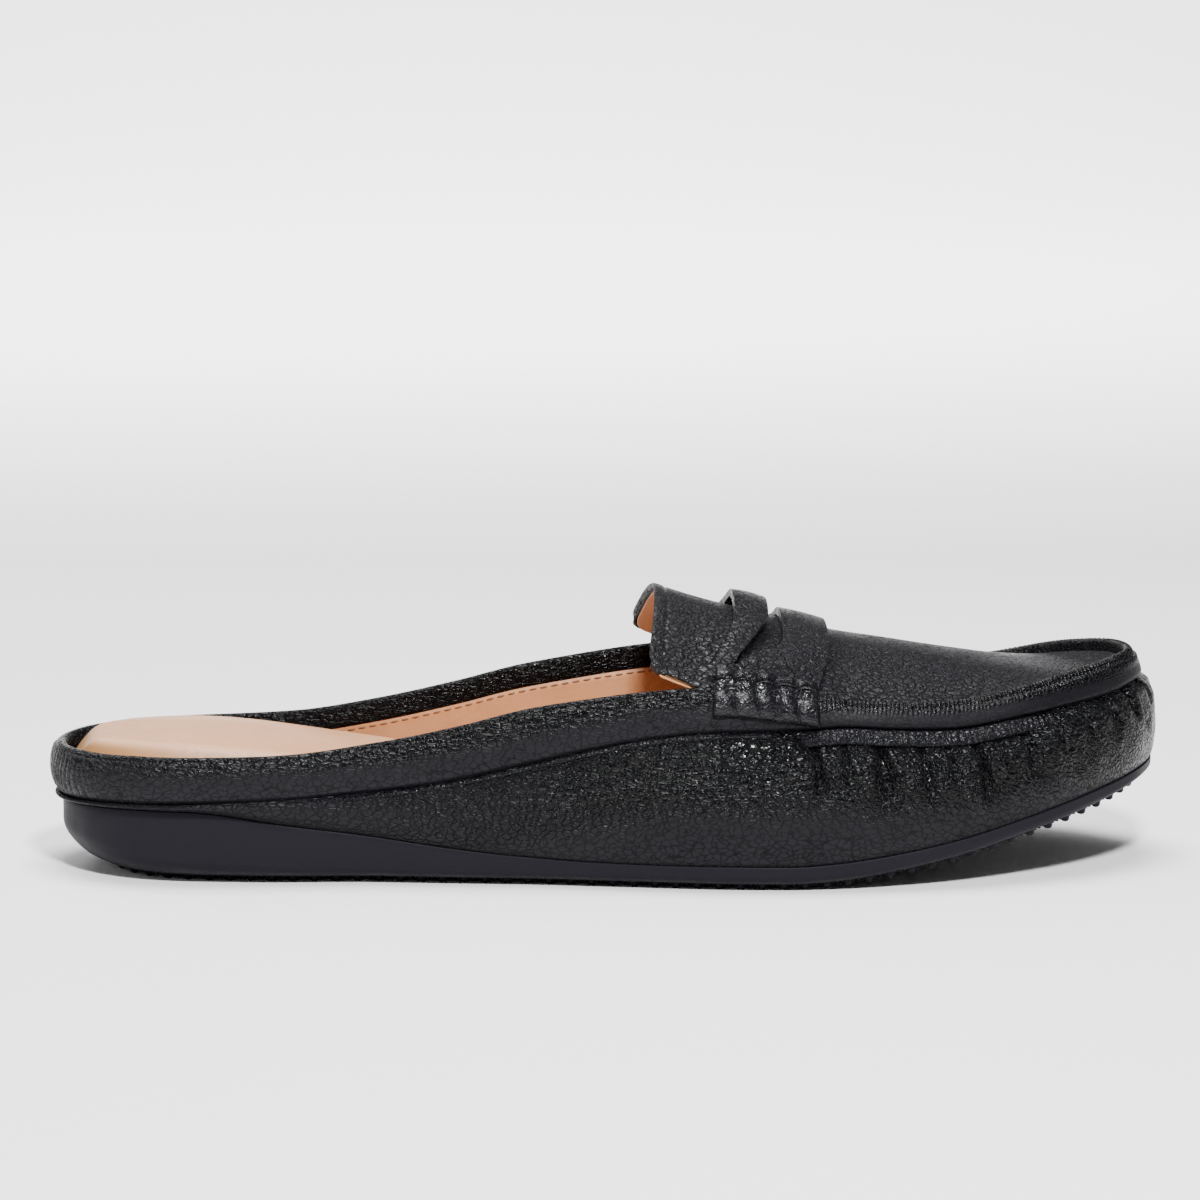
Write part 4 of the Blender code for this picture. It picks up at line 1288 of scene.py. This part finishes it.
SLOT = Sections(
    "across rear   front",
    (0.00, 0.355, 0.505),
    (0.42, 0.345, 0.517),
    (0.58, 0.270, 0.524),
    (0.72, 0.210, 0.490),
    (0.80, 0.180, 0.340),
    (0.86, 0.160, 0.240),
    (0.92, 0.150, 0.180),
)
SLOT_END = SLOT.along[-1]


def strap_point(width_share, reach, rise=0.0):
    """Points under the strap, whose ends swing back along the shoe."""
    rear = STRAP_START * SOLE_LENGTH - STRAP_REAR_SWING * reach ** 4
    front = STRAP_START * SOLE_LENGTH + STRAP_WIDTH - STRAP_FRONT_SWING * reach ** 4
    x = rear + (front - rear) * width_share
    slot_rear, slot_front = (SLOT.at(name, np.abs(reach)) for name in ("rear", "front"))
    over_bar = 1 - np.clip((width_share - slot_rear) / (slot_front - slot_rear), 0, 1)
    _, half = plug_span(x)
    taken = 2 * RIM_RADIUS + ROLL_OVER_PLUG - PLUG_INTO_RIM + GAP
    lift = STRAP_LIFT * over_bar * (1 - reach ** 2) - STRAP_DIVE * smooth(np.abs(reach), 0.86, 1)
    return plug_point(x, reach * (1 - taken / half), GAP + lift + rise)


def strap_form(u, v):
    """Open sheet: rows of the rear bar, a row of faces for the slot, rows of the front bar."""
    reach = 2 * v - 1
    row = np.rint(u * (REAR_ROWS + 1 + FRONT_ROWS)).astype(int)
    slot_rear, slot_front = (SLOT.at(name, np.abs(reach)) for name in ("rear", "front"))
    solid = np.abs(reach) > SLOT_END
    middle = (slot_rear + slot_front) / 2
    slot_rear, slot_front = np.where(solid, middle, slot_rear), np.where(solid, middle, slot_front)
    share = np.where(row <= REAR_ROWS, slot_rear * row / REAR_ROWS,
                     slot_front + (1 - slot_front) * (row - REAR_ROWS - 1) / FRONT_ROWS)
    points = strap_point(share, reach)
    over_bar = np.where(row <= REAR_ROWS, row / REAR_ROWS, (row - REAR_ROWS - 1) / FRONT_ROWS)
    points[:, 2] += STRAP_CROWN * np.sin(np.pi * over_bar)
    return points, np.column_stack([points[:, 0], points[:, 1]])


strap_leather = make_leather("strap_leather", cells=640, depth=0.00075, sheen=0.31, dull=0.64,
                             shine=0.26, crumpled=0.12, valley=0.19)
strap = lay_grid("saddle_strap_leather", REAR_ROWS + 1 + FRONT_ROWS, STRAP_COLUMNS, strap_form,
                 closed=False)
bm = bmesh.new()
bm.from_mesh(strap.data)
slot_faces = []
for face in bm.faces:
    centre = face.calc_center_median() - Vector(SHOE_PLACE)
    x, y = np.array([centre.x]), centre.y
    middle, half = plug_span(x)
    taken = 2 * RIM_RADIUS + ROLL_OVER_PLUG - PLUG_INTO_RIM + GAP
    reach = (y - middle) / half / (1 - taken / half)
    if abs(reach[0]) < SLOT_END:
        rear = STRAP_START * SOLE_LENGTH - STRAP_REAR_SWING * reach ** 4
        front = STRAP_START * SOLE_LENGTH + STRAP_WIDTH - STRAP_FRONT_SWING * reach ** 4
        share = (x - rear) / (front - rear)
        low, high = (SLOT.at(name, np.abs(reach)) for name in ("rear", "front"))
        if low < share < high:
            slot_faces.append(face)
bmesh.ops.delete(bm, geom=slot_faces, context="FACES")
bm.to_mesh(strap.data)
bm.free()
thicken(strap, STRAP_THICKNESS, 1)
edge_bevel = strap.modifiers.new("Edges", "BEVEL")
edge_bevel.width = STRAP_EDGE
edge_bevel.segments = 3
edge_bevel.limit_method = "ANGLE"
edge_bevel.angle_limit = math.radians(50)
finish_piece(strap, strap_leather, "black_leather", "saddle_strap")

# Beef rolls: at both ends of the strap the leather is whipped over the rim in five puffs, with
# the stitches sunk between them.
ROLL_START = 0.583
ROLL_END = 0.683
ROLL_THICKNESS = 0.0023
ROLL_TOP_REACH = 0.0022
ROLL_DROP = 0.0064
ROLL_LOBES = 5
# Between the two rows of puffs runs a waist, with deeper dimples: place along it and depth
ROLL_WAIST = 0.47
WAIST_DEPTH = 0.58
ROLL_DIMPLES = ((0.15, 0.30), (0.57, 0.35), (0.78, 0.30))
ROLL_LUMPS = 0.0003
ROLL_LUMP_SIZE = 0.0021
THINNEST = 0.0004
ROLL_COLUMNS = 200
SKIN_SIDE = np.linspace(0, 0.9, 12)
SKIN_TURNS = np.radians(np.linspace(15, 85, 8))
SKIN_FLAT = np.linspace(0.4, 1, 4)


def roll_form(outer):
    """Closed roll that hugs the rim: under skin up and over, then the puffed skin back."""
    share = np.linspace(0, 1, ROLL_COLUMNS + 1)
    along = ROLL_START + (ROLL_END - ROLL_START) * share
    around = np.arccos(1 - 2 * along) / (2 * np.pi)
    course = Course(around if outer else 1 - around)
    rim = wall_face(course, np.full(len(share), 2.0))
    foot, seam, top = wall_heights(course, course.plan(rim)[:, 0])
    lowest = 1 + (top - ROLL_DROP - seam) / (top - seam)
    low_foot = (top - ROLL_DROP - foot) / (seam - foot)
    lowest = np.where(lowest < 1, low_foot, lowest)
    skin = []
    for part in SKIN_SIDE:
        level = lowest + part * (2 - lowest)
        below_seam = foot + (seam - foot) * level
        height = np.where(level <= 1, below_seam, seam + (top - seam) * (level - 1))
        skin.append(np.column_stack([wall_face(course, level) + GAP, height]))
    reach = RIM_RADIUS + GAP
    for turn in SKIN_TURNS:
        offset = rim - RIM_RADIUS + reach * math.cos(turn)
        skin.append(np.column_stack([offset, top - RIM_RADIUS + reach * math.sin(turn)]))
    for part in SKIN_FLAT:
        offset = rim - RIM_RADIUS - part * (RIM_RADIUS + ROLL_TOP_REACH)
        skin.append(np.column_stack([offset, np.zeros(len(share))]))
    skin = np.array(skin)
    for k in range(len(SKIN_SIDE), len(skin)):
        plan = course.plan(skin[k, :, 0])
        middle, half = plug_span(plan[:, 0])
        across = np.clip((plan[:, 1] - middle) / half, -1, 1)
        over_plug = plug_point(plan[:, 0], across)[:, 2] + GAP
        skin[k, :, 1] = np.maximum(skin[k, :, 1], over_plug)
    course_step = np.gradient(skin, axis=0)
    course_step /= np.linalg.norm(course_step, axis=2)[:, :, None]
    normal = np.stack([course_step[:, :, 1], -course_step[:, :, 0]], axis=2)
    rows = len(skin)
    height_share = np.linspace(0, 1, rows)[:, None]
    lean = share[None, :] + 0.015 * np.sin(9 * height_share + 23 * share[None, :])
    lobe = np.abs(np.sin(np.pi * ROLL_LOBES * lean))
    puffs = 0.50 + 0.50 * lobe ** 0.55
    waist = 1 - WAIST_DEPTH * bump(height_share, ROLL_WAIST, 0.085)
    for place, deep in ROLL_DIMPLES:
        near = bump(height_share, ROLL_WAIST, 0.10) * bump(share, place, 0.045)[None, :]
        waist = waist - deep * near
    points = np.stack([share[None, :] * 0.025 + 0 * height_share, height_share * 0.011 + 0 * share,
                       np.full((rows, len(share)), 0.001 if outer else 0.05)], axis=2)
    lumps = crumple(points.reshape(-1, 3), ROLL_LUMP_SIZE, 6).reshape(rows, -1)
    from_end = np.minimum(height_share / 0.16, (1 - height_share) / 0.12)
    ends = 0.30 + 0.70 * np.sqrt(np.clip(from_end, 0, 1))
    sides = np.clip(np.minimum(share, 1 - share) / 0.03, 0, 1) ** 0.5
    thickness = ROLL_THICKNESS * puffs * waist * ends * (0.35 + 0.65 * sides)
    thickness = np.maximum(thickness + ROLL_LUMPS * lumps, THINNEST)
    outside = skin + normal * thickness[:, :, None]
    section = np.concatenate([skin, outside[::-1]])

    def form(u, v):
        i = np.rint(u * ROLL_COLUMNS).astype(int)
        j = np.rint(v * len(section)).astype(int) % len(section)
        flat = section[j, i]
        plan = course.base[i] + flat[:, :1] * course.outward[i]
        return np.column_stack([plan, flat[:, 1]]), np.column_stack([share[i], v])

    return form, len(section)


whip_leather = make_leather("whipped_leather", cells=900, depth=0.00010, sheen=0.14, dull=0.36,
                            shine=0.26, crumpled=0.1)
for name, outer in (("beef_roll_lateral", True), ("beef_roll_medial", False)):
    form, turns = roll_form(outer)
    roll = lay_grid(name + "_leather", ROLL_COLUMNS, turns, form)
    finish_piece(roll, whip_leather, "black_leather", name)

# Studio: a pale sweep of paper under and behind the shoe, lit by a lamp of its own. A large soft
# light hangs overhead, a small one in front draws the bright specks, and weaker ones stand
# behind and at the heel.
FLOOR_SIZE = 6.0
SWEEP_START = 1.5
SWEEP_RADIUS = 2.5
paper, shader = new_material("pale_paper", (0.95, 0.95, 0.95), 0.9)
floor_mesh = bpy.data.meshes.new("floor")
bm = bmesh.new()
bmesh.ops.create_grid(bm, x_segments=4, y_segments=60, size=FLOOR_SIZE / 2)
for vertex in bm.verts:
    past = vertex.co.y - SWEEP_START
    if past > 0:
        turn = past / SWEEP_RADIUS
        vertex.co.y = SWEEP_START + SWEEP_RADIUS * math.sin(turn)
        vertex.co.z = SWEEP_RADIUS * (1 - math.cos(turn))
bm.to_mesh(floor_mesh)
bm.free()
floor_mesh.shade_smooth()
floor_mesh.materials.append(paper)
floor = bpy.data.objects.new("floor", floor_mesh)
bpy.context.scene.collection.objects.link(floor)


def add_light(name, place, target, size, power):
    """A square soft light at a place, turned to a target."""
    light = bpy.data.lights.new(name, "AREA")
    light.shape = "SQUARE"
    light.size = size
    light.energy = power
    lamp = bpy.data.objects.new(name, light)
    lamp.location = place
    lamp.rotation_euler = (Vector(target) - Vector(place)).to_track_quat("-Z", "Y").to_euler()
    bpy.context.scene.collection.objects.link(lamp)


add_light("overhead", (0, 0.10, 1.2), (0, 0, 0), 0.6, 24)
add_light("front", (0.10, -0.9, 0.95), (0.03, 0, 0.03), 0.16, 28)
add_light("behind", (-0.5, 0.9, 0.9), (0, 0, 0.03), 0.8, 8)
add_light("heel", (-1.0, -0.6, 0.5), (0, 0, 0.04), 0.5, 2)
add_light("backdrop", (0, 1.2, 1.2), (0, 3.0, 0.1), 1.4, 110)
world = bpy.data.worlds.new("studio")
world.use_nodes = True
world.node_tree.nodes["Background"].inputs[0].default_value = (1, 1, 1, 1)
world.node_tree.nodes["Background"].inputs[1].default_value = 0.15
bpy.context.scene.world = world

# Camera: level with the shoe's outer side, nine degrees up and a little toward the heel
TARGET = Vector((-0.0014, 0, 0.0610))
DISTANCE = 1.45
AZIMUTH = math.radians(-2.5)
ELEVATION = math.radians(9)
FIELD = 0.27924
camera_data = bpy.data.cameras.new("camera")
camera_data.sensor_width = 36
camera_data.lens = camera_data.sensor_width * DISTANCE / FIELD
camera = bpy.data.objects.new("camera", camera_data)
back = Vector((math.sin(AZIMUTH) * math.cos(ELEVATION), -math.cos(AZIMUTH) * math.cos(ELEVATION),
               math.sin(ELEVATION)))
camera.location = TARGET + DISTANCE * back
camera.rotation_euler = (-back).to_track_quat("-Z", "Y").to_euler()
bpy.context.scene.collection.objects.link(camera)
bpy.context.scene.camera = camera
